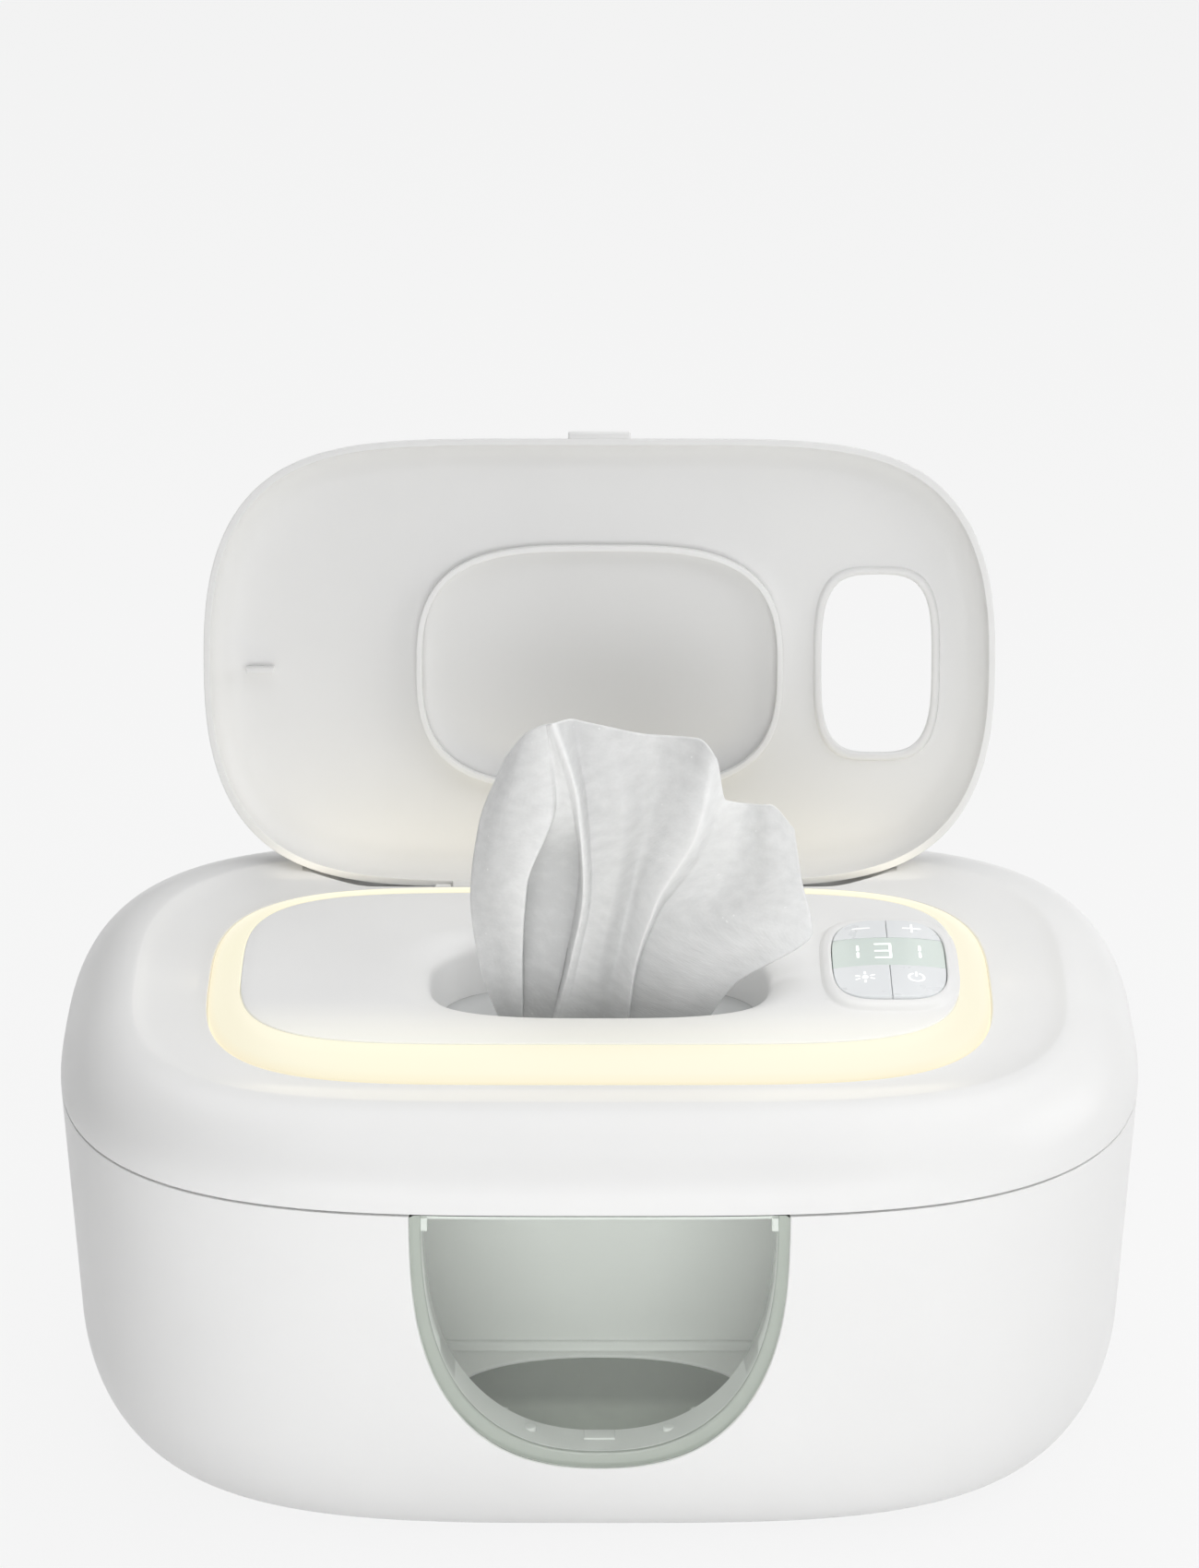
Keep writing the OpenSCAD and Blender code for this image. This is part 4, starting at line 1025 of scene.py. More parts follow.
class WARMER_OT_window(Operator):
    """Make the clear window with its deep rim, pegs and clip"""
    bl_idname = "warmer.window"
    bl_label = "Window"

    def execute(self, context):
        t = context.scene.warmer_tub
        play, air = 0.06 * MM, 0.12 * MM      # to the tub, and from the pane to what is behind
        frame_depth, ceiling, ease, corner = 1.1 * MM, 2.2 * MM, 0.3 * MM, 0.6 * MM
        rim, top = t.rim, SEAM_Z + air
        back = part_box("window_lens")[1].y
        marks = [(-play - out, depth, None) for out, depth in quarter(0.35 * MM)]
        rows = window_rows(t, marks + [(-play, t.skin, None)], top, corner)
        pane = domed_skin("window_pane", self.cap(t, rows[0], 0.0)[::-1] + rows
                          + self.cap(t, rows[-1], t.skin))
        looks = finishes(context)
        finished(pane, looks["clear_lens"], "tub", ["window_lens"], 50)
        # a dark band behind the pane's edge: painted shade for the darker look of the pane's curved edge
        near = t.skin + air
        frame_back = near + frame_depth
        marks = [(-play, near, None), (-play, frame_back, None), (-rim, frame_back, None),
                 (-rim, near + 0.25 * MM, None), (-rim + 0.25 * MM, near, None)]
        edge = skin("window_edge_shade", window_rows(t, marks, top, corner), tube=True)
        finished(edge, looks["edge_shade_plastic"], "tub", ["window_lens"], 30)
        near = frame_back + 0.05 * MM
        marks = [(-play, near, None, 0), (-play, 0, back - ease, 0), (-play - ease, 0, back, ease),
                 (-rim + ease, 0, back, ceiling - ease), (-rim, 0, back - ease, ceiling),
                 (-rim, near + ease, None, ceiling), (-rim + ease, near, None, ceiling - ease)]
        flange = skin("window_rim", window_rows(t, marks, top, corner), tube=True)
        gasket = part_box("cover_gasket")
        low = Vector((-HALF_W, gasket[0].y - 0.3 * MM, gasket[0].z - 0.3 * MM))
        carve(flange, box_piece("gasket_room", low, Vector((HALF_W, back + 1 * MM, SEAM_Z))))
        self.fittings(t, flange, back)
        finished(flange, looks["milky_rim"], "tub", ["window_lens"], 50)
        return {"FINISHED"}

    def cap(self, t, row, depth, rings=24):
        """Rings that close a row towards its middle, along the tub's front."""
        middle = np.array([0.0, 0.0, SEAM_Z - t.window_h * 0.45])
        made = []
        for k in range(1, rings + 1):
            near = middle + (row - middle) * (1 - k / (rings + 0.25))
            near[:, 1] = tub_front(t, near[:, 0], near[:, 2]) + depth
            made.append(near)
        return made

    def fittings(self, t, lens, back):
        """Two pegs and a clip on the floor of the rim, and a catch at each top corner."""
        floor = SEAM_Z - t.window_h + t.rim * RIM_FOOT
        for side in (-1, 1):
            foot = outline(1.3 * MM, 1.3 * MM, ROUND, 32, (side * 15 * MM, back - 4 * MM))
            add(lens, prism("peg", foot, floor + 1 * MM, floor + 3.2 * MM, 0.3 * MM))
        add(lens, box_piece("clip", (-3.4 * MM, back - 4.6 * MM, floor - 1 * MM),
                            (3.4 * MM, back - 0.7 * MM, floor + 0.45 * MM), 0.2 * MM))
        for side in (-1, 1):
            x0, x1 = span(side, t.window_a - 3.9 * MM, t.window_a - 1.4 * MM)
            y = tub_front(t, x0, SEAM_Z) + t.skin + 0.6 * MM
            add(lens, box_piece("catch", (x0, y, SEAM_Z - 4.6 * MM),
                                (x1, y + 4 * MM, SEAM_Z - 1.4 * MM), 0.25 * MM))


class WARMER_OT_tray(Operator):
    """Make the inner tray with its bulkhead, ledge and the oval opening over the heating plate"""
    bl_idname = "warmer.tray"
    bl_label = "Inner tray"

    def execute(self, context):
        t = context.scene.warmer_tub
        floor, top, wall = TRAY_Z, SEAM_Z - 3.25 * MM, 2 * MM

        def at(z, inwards):
            sink = (SEAM_Z - z) / (62 * MM)
            return [HALF_W - 11 * MM - inwards - 5 * MM * sink,
                    HALF_D - 10.5 * MM - inwards - 3.5 * MM * sink, z, *TUB_PQ]

        def bowl(low, extra, steer):
            curve = [at(low + rise * MM, extra + inset * MM) for inset, rise in steer]
            first = at(low, extra + 16 * MM)
            return spline([first, *curve, at(SEAM_Z - 30 * MM, extra), at(top, extra)], 4)

        flange = HALF_W - t.wall - 0.3 * MM, HALF_D - t.wall - 0.3 * MM
        outer = bowl(floor - wall, 0.0, [(4, 0), (1.8, 1.4), (0.4, 4), (0, 7)])
        inner = bowl(floor, wall, [(8, 0), (4.4, 1.4), (1.6, 4), (0.2, 8)])
        rim = [at(top, 0.0), [*flange, top, *TUB_PQ], [*flange, top + 1.6 * MM, *TUB_PQ],
               at(top + 1.6 * MM, wall), at(top - 2 * MM, wall)]
        stations = outer[:-1] + rounded(rim, [0, 0.4 * MM, 0.4 * MM, 0.7 * MM, 0])
        stations += inner[-1:0:-1] + [inner[0]]
        tray = loft("tray", stations)
        half, front, low = HALF_W - 16 * MM, -33.7 * MM, floor - 0.5 * MM
        add(tray, box_piece("bulkhead", (-half, front, low),
                            (half, front + 2 * MM, SEAM_Z - 6 * MM), 0.6 * MM))
        add(tray, box_piece("ledge", (4 * MM - half, front - 1 * MM, low),
                            (half - 4 * MM, front + 1 * MM, floor + 2.2 * MM), 0.5 * MM))
        self.openings(t, tray, floor)
        looks = finishes(context)
        finished(tray, looks["tray_plastic"], "tub", ["inner_tray"])
        play = 0.2 * MM
        pad = prism("plate_pad", self.oval(-play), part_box("heating_plate")[1].z + 0.02 * MM,
                    floor - 0.3 * MM, 0.4 * MM)
        finished(pad, looks["dark_plate"], "tub")
        return {"FINISHED"}

    def oval(self, out=0.0):
        return outline(WELL_A + out, WELL_B + out, WELL_PQ, MEDIUM, (0, WELL_Y))

    def openings(self, t, tray, floor):
        """Room for the window's rim, a level way from the rim onto the floor, and the oval."""
        play = 0.3 * MM
        marks = [(play, 0, -HALF_D), (play, 0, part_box("window_lens")[1].y + 0.2 * MM)]
        carve(tray, skin("window_room", window_rows(t, marks, OVER_Z)))
        marks = [(-t.rim, 0, -HALF_D), (-t.rim, 0, -60 * MM)]
        carve(tray, skin("way_in", window_rows(t, marks, OVER_Z)))
        well = self.oval()
        away = inward_normals(well)
        # outwards and above the floor, in millimetres
        steps = ((0, -5), (0, -0.6), (0.2, -0.25), (0.6, 0), (0.9, 5))
        carve(tray, skin("well", [level(well - away * out * MM, floor + rise * MM)
                                  for out, rise in steps]))


# ---------------------------------------------------------------------------
# Cover
# ---------------------------------------------------------------------------

def blended(one, two, t):
    return [a + (b - a) * t for a, b in zip(one, two)]


def shoulder(c, turn, inwards=0.0):
    """Station of the shoulder, a quarter ellipse in section that turns squarer as it rises."""
    near, rise = 1 - math.cos(turn), math.sin(turn)
    return [HALF_W - c.crest_w * near - inwards * math.cos(turn),
            HALF_D - c.crest_d * near - inwards * math.cos(turn),
            SEAM_Z + SEAM_GAP + c.shoulder_h * rise - inwards * rise,
            *blended(TUB_PQ, CREST_PQ, rise)]


class WARMER_OT_cover(Operator):
    """Make the cover's shell: shoulder, dish, ring seat, lid pocket and hinge leaf"""
    bl_idname = "warmer.cover"
    bl_label = "Cover"

    def execute(self, context):
        c = context.scene.warmer_cover
        wall = context.scene.warmer_tub.wall
        turns = np.linspace(0, math.pi / 2, 34)
        outer = [shoulder(c, turn) for turn in turns]
        inner = [shoulder(c, turn, wall) for turn in turns[::-1]]
        dish_z, seat_z = DISH_Z, SEAM_Z + 12 * MM      # the seat is just clear of SEAT_Z
        edge_a, edge_b = RING_A + 0.3 * MM, RING_B + 0.3 * MM
        hub = [HUB_A, HUB_B]
        crest = outer[-1]
        dish = spline([[crest[0] + 4 * MM, crest[1] + 4 * MM, crest[2] + 1.3 * MM, *CREST_PQ],
                       crest,
                       [HALF_W - 20 * MM, HALF_D - 25.5 * MM, SEAM_Z + 15.6 * MM, *CREST_PQ],
                       [RING_A + 5 * MM, RING_B + 4.5 * MM, SEAM_Z + 14.5 * MM, *DISH_PQ],
                       [edge_a, edge_b, dish_z, *RING_PQ],
                       [edge_a - 8 * MM, edge_b - 8 * MM, dish_z - 0.2 * MM, *RING_PQ]], 7)
        edge = rounded([outer[-4], crest, dish[2]], [0, c.crest_round, 0])
        seat = [[edge_a, edge_b, seat_z, *RING_PQ], [*hub, seat_z, *DECK_PQ],
                [*hub, seat_z - 2.2 * MM, *DECK_PQ],
                [RING_A + 2.5 * MM, RING_B + 2.5 * MM, seat_z - 2.2 * MM, *RING_PQ],
                [RING_A + 6 * MM, RING_B + 5.5 * MM, SEAM_Z + 11.8 * MM, *DISH_PQ],
                [HALF_W - 21 * MM, HALF_D - 26 * MM, SEAM_Z + 12.8 * MM, *CREST_PQ]]
        stations = outer + dish[1:] + seat + inner
        low = rounded([inner[-2], inner[-1], outer[0], outer[1]], [0, 0.2 * MM, 0.2 * MM, 0])
        lip = rounded([dish[-2], dish[-1], seat[0]], [0, 0.35 * MM, 0])
        stations = low[7:-1] + outer[1:-3] + edge[1:-1] + dish[3:-1] + lip[1:-1] + seat
        stations += inner[:-1] + low[1:7]
        cover = loft("cover_shell", stations, tube=True)
        self.pocket(cover)
        self.hinges(cover)
        finished(cover, finishes(context)["white_shell"], "cover", ["top_cover"])
        return {"FINISHED"}

    def pocket(self, cover):
        """The pocket that the open lid's back edge swings down into, with its backing.

        Each section is a closed line of places front to back and heights above the seam, in
        millimetres. Full is the pocket in the middle, and end is what it tapers out to.
        """
        back = np.array([[45, 10], [50, 8.4], [63, 8.6], [69, 11.4], [70, 14], [64, 14],
                         [58, 12.3], [51.8, 11.9], [47, 11.9]]) * MM
        seam = np.array([0, SEAM_Z])
        backing = skin("backing", [upright(side * 64 * MM, back + seam) for side in (-1, 1)])
        hub = outline(HUB_A, HUB_B, DECK_PQ)
        carve(backing, prism("hub", hub, SEAM_Z, SEAM_Z + 30 * MM))
        add(cover, backing)
        full = np.array([[51.3, 22], [51.3, 11.2], [51.6, 10.7], [52.2, 10.6], [59, 10.6],
                         [61.2, 10.8], [63, 11.3], [64.4, 12.2], [65.5, 13.5], [66.5, 15.4],
                         [67.4, 17.6], [67.4, 22]]) * MM
        end = np.array([[56, 22], [56, 16.4], [56.2, 15.9], [56.6, 15.7], [59, 15.4],
                        [61.2, 15.4], [63, 15.6], [64.4, 16.0], [65.5, 16.5], [66.5, 17.1],
                        [67.4, 17.6], [67.4, 22]]) * MM
        level_half, taper = 52 * MM, 17 * MM
        rows = []
        for x in np.linspace(-69, 69, 93) * MM:
            t = np.clip((abs(x) - level_half) / taper, 0, 1)
            rows.append(upright(x, full + (end - full) * (t * t * (3 - 2 * t)) + seam))
        carve(cover, skin("pocket_room", rows))

    def hinges(self, cover):
        """The knuckle at the back, and two pairs of eyes that carry the lid's pins."""
        y, z = COVER_AXIS.yz
        half, bore = KNUCKLE_HALF, 1.55 * MM
        add(cover, box_piece("cover_leaf", (-half, HALF_D - LEAF_DEPTH, z),
                             (half, HALF_D + 1.6 * MM, SEAM_Z + 3 * MM), KNUCKLE_GAP))
        add(cover, rod_piece("cover_knuckle", KNUCKLE_R, -half, half, y, z, KNUCKLE_GAP))
        carve(cover, rod_piece("cover_bore", bore, -half - 1 * MM, half + 1 * MM, y, z, sides=32))
        y, z = LID_AXIS.yz
        for side in (-1, 1):
            for near, far in ((20 * MM, 23.6 * MM), (34.4 * MM, 38 * MM)):
                x0, x1 = span(side, near, far)
                add(cover, box_piece("lug", (x0, y - EYE_R, SEAM_Z + 10 * MM), (x1, y + EYE_R, z)))
                add(cover, rod_piece("lug_eye", EYE_R, x0, x1, y, z, EYE_EDGE))


class WARMER_OT_light_ring(Operator):
    """Make the lit ring round the deck"""
    bl_idname = "warmer.light_ring"
    bl_label = "Light ring"

    def execute(self, context):
        c = context.scene.warmer_cover
        seat_z, dish_z, top = SEAT_Z, DISH_Z, SEAM_Z + c.deck_rise
        play = 0.2 * MM
        a, b = DECK_A + play, DECK_B + play

        def across(t, z):
            return [RING_A + (a - RING_A) * t, RING_B + (b - RING_B) * t, z,
                    *blended(RING_PQ, DECK_PQ, t)]

        stations = rounded([
            across(0.0, seat_z), across(0.0, dish_z), across(0.3, dish_z + 1.7 * MM),
            across(0.7, dish_z + 3.4 * MM), across(1.0, top - 0.1 * MM),
            across(1.0, top - 2 * MM), across(0.55, dish_z + 0.9 * MM), across(0.24, seat_z),
        ], [0, 0.5 * MM, 1.4 * MM, 1.4 * MM, 0.25 * MM, 0, 0, 0], loop=True)
        ring_piece = loft("light_ring_guide", stations, tube=True)
        finished(ring_piece, finishes(context)["light_guide"], "cover", ["light_ring"])
        return {"FINISHED"}


class WARMER_OT_deck(Operator):
    """Make the deck with its soft-lipped mouth, keypad boss and seal"""
    bl_idname = "warmer.deck"
    bl_label = "Deck and seal"

    def execute(self, context):
        c, k = context.scene.warmer_cover, context.scene.warmer_keypad
        top, seat_z, seal_z = SEAM_Z + c.deck_rise, SEAT_Z, SEAL_Z
        mouth = (0.0, c.mouth_y)
        plate, corner = 2.05 * MM, 0.35 * MM       # thickness, and rounding of the edge

        def edge(inwards, z):
            return ring([DECK_A - inwards, DECK_B - inwards, z, *DECK_PQ])

        def throat(out, z):
            """The mouth's outline grown by a width: wide at the ends and tight at the front."""
            wide = max(out, 0.0)
            row = ring([c.mouth_a + out + 0.7 * wide, c.mouth_b + out, z, *MOUTH_PQ], FINE, mouth)
            near = row[:, 1] < mouth[1]
            row[near, 1] = mouth[1] + (row[near, 1] - mouth[1]) * (1 - 0.6 * wide
                                                                   / (c.mouth_b + out))
            return row

        roll = [(math.pi / 2) * k / 12 for k in range(13)]
        lip_in, lip_h = 0.9 * MM, 4.6 * MM
        lip = [throat(c.lip - (c.lip + lip_in) * math.sin(t), top - lip_h * (1 - math.cos(t)))
               for t in roll]
        outer_corner = [edge(corner * (1 - math.sin(t)), top - corner * (1 - math.cos(t)))
                        for t in np.linspace(math.pi / 2, 0, 5)]
        flat_rows = [outer_corner[-1] * (1 - t) + lip[0] * t for t in np.linspace(0, 1, 14)[1:-1]]
        rows = [edge(0.3 * MM, seat_z), edge(0.3 * MM, top - plate), edge(0.0, top - plate)]
        rows += outer_corner + flat_rows + lip
        rows += [throat(-1.5 * MM, top - 8 * MM), throat(-2 * MM, top - 12 * MM),
                 throat(-2.2 * MM, seal_z), throat(1 * MM, seal_z),
                 throat(1.4 * MM, top - 6.2 * MM), throat(3.4 * MM, top - 2.4 * MM),
                 throat(c.lip, top - plate), edge(1.9 * MM, top - plate), edge(1.9 * MM, seat_z)]
        deck = skin("deck_plate", rows, tube=True)
        self.boss(deck, k, top)
        finished(deck, finishes(context)["deck_shell"], "cover", ["deck"])
        self.seal(context, c, seal_z, mouth)
        return {"FINISHED"}

    def boss(self, deck, k, top):
        """The raised collar round the keypad, and the hole for the keys."""
        centre = (k.pad_x, k.pad_y)

        def round_pad(out_x, out_y, z):
            return [k.pad_a + out_x * MM, k.pad_b + out_y * MM, z, *PAD_PQ]

        high = SEAM_Z + 19.4 * MM
        collar = spline([round_pad(4.4, 5.4, top - 2.6 * MM), round_pad(3.4, 4.6, top - 0.6 * MM),
                         round_pad(2.7, 3.8, top + 0.1 * MM), round_pad(2, 3, top + 0.75 * MM),
                         round_pad(1.1, 1.9, high - 0.08 * MM), round_pad(0.6, 0.9, high),
                         round_pad(0.3, 0.3, high)], 5)
        low = round_pad(3.4, 4.6, top - 1.6 * MM)
        add(deck, loft("boss", [low, *collar, round_pad(0.3, 0.3, high)], MEDIUM, centre))
        hole = [round_pad(0.22, 0.14, top - 5 * MM), round_pad(0.22, 0.14, high - 0.3 * MM),
                round_pad(0.3, 0.22, high - 0.1 * MM), round_pad(0.6, 0.6, high + 0.02 * MM),
                round_pad(0.8, 0.8, high + 2 * MM)]
        carve(deck, loft("pad_hole", hole, MEDIUM, centre))

    def seal(self, context, c, seal_z, mouth):
        """Silicone sheet under the mouth, with a slit that has round reliefs."""
        a, b = c.mouth_a + 0.8 * MM, c.mouth_b + 0.8 * MM
        seal = loft("seal_sheet", [[a, b, seal_z - 1.85 * MM, *MOUTH_PQ],
                                   [a, b, seal_z - 0.05 * MM, *MOUTH_PQ]], MEDIUM, mouth)
        low, high = seal_z - 3 * MM, seal_z + 1 * MM
        half, slit, relief = 22 * MM, 3 * MM, 4.2 * MM
        carve(seal, box_piece("slit", (-half, mouth[1] - slit, low),
                              (half, mouth[1] + slit, high)))
        for x in (-22, -16, -8, 0, 8, 16, 22):
            hole = outline(relief, relief, ROUND, 48, (x * MM, mouth[1]))
            carve(seal, prism("relief", hole, low, high))
        finished(seal, finishes(context)["silicone_seal"], "cover", ["dispensing_seal"])


# ---------------------------------------------------------------------------
# Keypad
# ---------------------------------------------------------------------------

def crown_drop(k):
    """How far the keypad's top lies under its middle, as a function of a place."""
    return lambda x, y: k.crown * ((x - k.pad_x) / k.pad_a) ** 2


def pad_part(k, x0, x1, y0, y1, inwards=0.0):
    """The piece of the keypad's outline between two sides and two depths, corners eased."""
    a, b = k.pad_a - inwards, k.pad_b - inwards
    line = outline(a, b, PAD_PQ, 400, (k.pad_x, k.pad_y))
    line = np.column_stack([np.clip(line[:, 0], x0, x1), np.clip(line[:, 1], y0, y1)])
    p, q = PAD_PQ
    reach = a * (1 - np.clip(np.abs(line[:, 1] - k.pad_y) / b, 0, 1) ** q) ** (1 / p)
    line[:, 0] = np.clip(line[:, 0], k.pad_x - reach, k.pad_x + reach)
    kept = np.linalg.norm(line - np.roll(line, 1, axis=0), axis=1) > 1e-7
    return spaced(line[kept], 160)


def strokes(name, paths, width, height, drop, base):
    """Rounded strokes that lie on a surface, as one mesh."""
    points, faces = [], []
    for path in paths:
        path = np.array(path, float)
        step = np.gradient(path, axis=0)
        step /= np.linalg.norm(step, axis=1)[:, None]
        side = np.column_stack([-step[:, 1], step[:, 0]]) * width / 2
        left, right = path + side, path - side
        turn = np.linspace(0, math.pi, 7)[1:-1]

        def cap(at, along):
            across = np.array([-along[1], along[0]])
            return [at + width / 2 * (along * math.sin(t) - across * math.cos(t)) for t in turn]

        loop = np.vstack([right, cap(path[-1], step[-1]), left[::-1], cap(path[0], -step[0])])
        first, n = len(points), len(loop)
        for z in (-0.3 * height, height):
            points += [(x, y, base + z - drop(x, y)) for x, y in loop]
        faces += [tuple(first + n + i for i in range(n)),
                  tuple(first + i for i in reversed(range(n))), *quads(2, n, first=first)]
    return outwards(plain_object(name, points, faces))


def arc(centre, rx, ry, start, stop, count=28):
    turn = np.radians(np.linspace(start, stop, count))
    return np.column_stack([centre[0] + rx * np.cos(turn), centre[1] + ry * np.sin(turn)])


def stroke_line(p, q, count=5):
    return np.column_stack([np.linspace(p[0], q[0], count), np.linspace(p[1], q[1], count)])


def symbol_paths(kind, x, y):
    """Generic key symbols, as lists of stroke centre lines round a place."""
    if kind == "minus":
        return [stroke_line((x - 1.8 * MM, y), (x + 1.8 * MM, y))]
    if kind == "plus":
        return [stroke_line((x - 1.9 * MM, y), (x + 1.9 * MM, y)),
                stroke_line((x, y - 1.9 * MM), (x, y + 1.9 * MM))]
    if kind == "power":
        return [arc((x, y - 0.1 * MM), 1.7 * MM, 2.0 * MM, 118, 422),
                stroke_line((x, y + 0.5 * MM), (x, y + 2.4 * MM))]
    rays = [arc((x, y), r * MM, 1.3 * r * MM, 0, 350) for r in (0.15, 0.45)]
    for turn in (0.12, 0.5, 0.88, 1.12, 1.5, 1.88):
        c, s = math.cos(turn * math.pi), math.sin(turn * math.pi)
        rays.append(stroke_line((x + 1.4 * MM * c, y + 1.7 * MM * s),
                                (x + 2.1 * MM * c, y + 2.6 * MM * s)))
    return rays


SEGMENTS = {"1": "bc", "3": "abcdg"}


def digit_paths(digit, x, y, half_w, half_h):
    """Seven-segment strokes of a digit whose middle is at a place."""
    gap = 0.7 * MM
    ends = {
        "a": ((-half_w, half_h), (half_w, half_h)),
        "g": ((-half_w, 0), (half_w, 0)),
        "d": ((-half_w, -half_h), (half_w, -half_h)),
        "b": ((half_w, gap), (half_w, half_h - gap)),
        "c": ((half_w, -half_h + gap), (half_w, -gap)),
    }
    return [stroke_line((x + p[0], y + p[1]), (x + q[0], y + q[1]))
            for p, q in (ends[s] for s in SEGMENTS[digit])]


class WARMER_OT_keypad(Operator):
    """Make the four keys, the display strip between them and their symbols"""
    bl_idname = "warmer.keypad"
    bl_label = "Keypad"

    def execute(self, context):
        k = context.scene.warmer_keypad
        front, back = -3.1 * MM, 11.1 * MM        # the strip's edges, with the keys past them
        base, top = SEAM_Z + 15.4 * MM, SEAM_Z + 20.1 * MM
        strip_top = top - 0.1 * MM
        stroke, relief = 0.5 * MM, 0.03 * MM
        drop = crown_drop(k)
        looks = finishes(context)
        far = 30 * MM                             # past the outline on every side
        spans = {"minus": (-1, 1), "plus": (1, 1), "light": (-1, -1), "power": (1, -1)}
        for name, (side, row) in spans.items():
            x0, x1 = sorted((k.pad_x + side * k.gap / 2, k.pad_x + side * far))
            y0, y1 = (back + k.gap, far) if row > 0 else (-far, front - k.gap)
            foot = base if row > 0 else base + 1 * MM    # the front keys clear the display board
            key = prism(name + "_cap", pad_part(k, x0, x1, y0, y1), foot, top, 0.16 * MM, 3, drop)
            finished(key, looks["key_plastic"], name, [name + "_key"])
            place = (k.pad_x + side * 5.7 * MM, 16.1 * MM if row > 0 else -9.3 * MM)
            mark = strokes(name + "_mark", symbol_paths(name, *place), stroke, relief, drop, top)
            finished(mark, looks["print"], name)
        strip = prism("display_strip", pad_part(k, k.pad_x - far, k.pad_x + far, front, back),
                      base, strip_top, 0.1 * MM, 3, drop)
        finished(strip, looks["display_window"], "cover", ["display_lens"])
        middle = (front + back) / 2 + 0.2 * MM
        shown = []
        for digit, x in (("1", -8.5), ("3", -1.2), ("1", 5.4)):
            shown += digit_paths(digit, k.pad_x + x * MM, middle, 1.65 * MM, 3.5 * MM)
        lit = strokes("display_digits", shown, 0.6 * MM, relief, drop, strip_top)
        finished(lit, looks["digits"], "cover")
        return {"FINISHED"}


# ---------------------------------------------------------------------------
# Lid
# ---------------------------------------------------------------------------

def opened(piece):
    """Turns a piece that was made on the closed lid back to the open pose."""
    turn = (Matrix.Translation(LID_AXIS) @ Matrix.Rotation(-LID_OPEN, 4, "X")
            @ Matrix.Translation(-LID_AXIS))
    piece.data.transform(turn)
    return piece


class WARMER_OT_lid(Operator):
    """Make the flip lid with its rim, keypad hole, finger tab, fin and sealing rib"""
    bl_idname = "warmer.lid"
    bl_label = "Lid"

    def execute(self, context):
        s = context.scene.warmer_lid
        top = s.rim_z + s.height
        plate = top - 1.8 * MM
        centre = (0.0, s.centre_y)

        def at(inwards, z):
            return [s.half_w - inwards * MM, s.half_d - inwards * MM, z, *LID_PQ]

        outer = spline([at(0, s.rim_z - 2 * MM), at(0, s.rim_z), at(0.15, s.rim_z + 2.4 * MM),
                        at(0.7, s.rim_z + 4.6 * MM), at(2, s.rim_z + 6.6 * MM),
                        at(4.2, s.rim_z + 8 * MM), at(7.6, top - 0.15 * MM), at(14, top),
                        at(22, top)], 5)
        inner = spline([at(22, plate), at(14, plate), at(8, plate - 0.2 * MM),
                        at(5, plate - 1.1 * MM), at(3, plate - 2.7 * MM),
                        at(1.9, plate - 4.6 * MM), at(1.5, s.rim_z), at(1.5, s.rim_z - 2 * MM)], 5)
        lip = rounded([inner[-2], inner[-1], outer[0], outer[1]], [0, 0.2 * MM, 0.2 * MM, 0])
        insets = (20, 27, 34, 41, 48)
        stations = [at(inset, top) for inset in insets[::-1]] + outer[:0:-1] + lip[::-1][1:-1]
        stations += inner[-2::-1] + [at(inset, plate) for inset in insets]
        lid = loft("lid_cap", stations, centre=centre)
        self.fittings(context, lid, s, top, plate)
        shade(opened(lid))
        finished(lid, finishes(context)["lid_shell"], "lid", ["lid_shell"])
        self.rib(context, s, plate)
        return {"FINISHED"}

    def fittings(self, context, lid, s, top, plate):
        """The keypad hole with its collar, the finger tab, the fin and the hinge's ears."""
        k = context.scene.warmer_keypad
        hole = (k.pad_x - 0.5 * MM, 1.6 * MM)

        def around(out, z):
            return [12.8 * MM + out * MM, 20.9 * MM + out * MM, z, *HOLE_PQ]

        collar = rounded([around(0.2, plate + 0.5 * MM), around(2.1, plate + 0.5 * MM),
                          around(1.5, plate - 1 * MM), around(0.2, plate - 1 * MM)],
                         [0, 0.3 * MM, 0.45 * MM, 0])
        add(lid, loft("collar", collar, MEDIUM, hole))
        cut = [around(0.6, plate - 3 * MM), around(0.6, plate - 1 * MM),
               around(0.25, plate - 0.85 * MM), around(0, plate - 0.5 * MM),
               around(0, top - 0.5 * MM), around(0.2, top - 0.15 * MM), around(0.6, top),
               around(0.6, top + 2 * MM)]
        carve(lid, loft("lid_hole", cut, MEDIUM, hole))
        front = s.centre_y - s.half_d
        add(lid, box_piece("tab", (-7.2 * MM, front - 1.5 * MM, s.rim_z + 0.3 * MM),
                           (7.2 * MM, front + 1 * MM, s.rim_z + 2.4 * MM), 0.5 * MM))
        add(lid, box_piece("fin", (-81.8 * MM, 2.1 * MM, plate - 3.2 * MM),
                           (-75.3 * MM, 3.5 * MM, plate + 0.3 * MM), 0.3 * MM))
        y, z = LID_AXIS.yz
        for side in (-1, 1):
            x0, x1 = span(side, 24 * MM, 34 * MM)
            add(lid, box_piece("ear", (x0, y - EAR_R, z), (x1, y - 0.1 * MM, s.rim_z + 2 * MM)))
            add(lid, rod_piece("ear_eye", EAR_R, x0, x1, y, z, EYE_EDGE))

    def rib(self, context, s, plate):
        looks = finishes(context)
        rib = band("sealing_rib", s.rib_a, s.rib_b, RIB_PQ, SEAM_Z + 18.6 * MM,
                   plate - 0.05 * MM, 1.3 * MM, 0.18 * MM, looks["lid_rib"], (0.0, 2.4 * MM))
        finished(opened(rib), looks["lid_rib"], "lid", ["lid_seal_ring"])
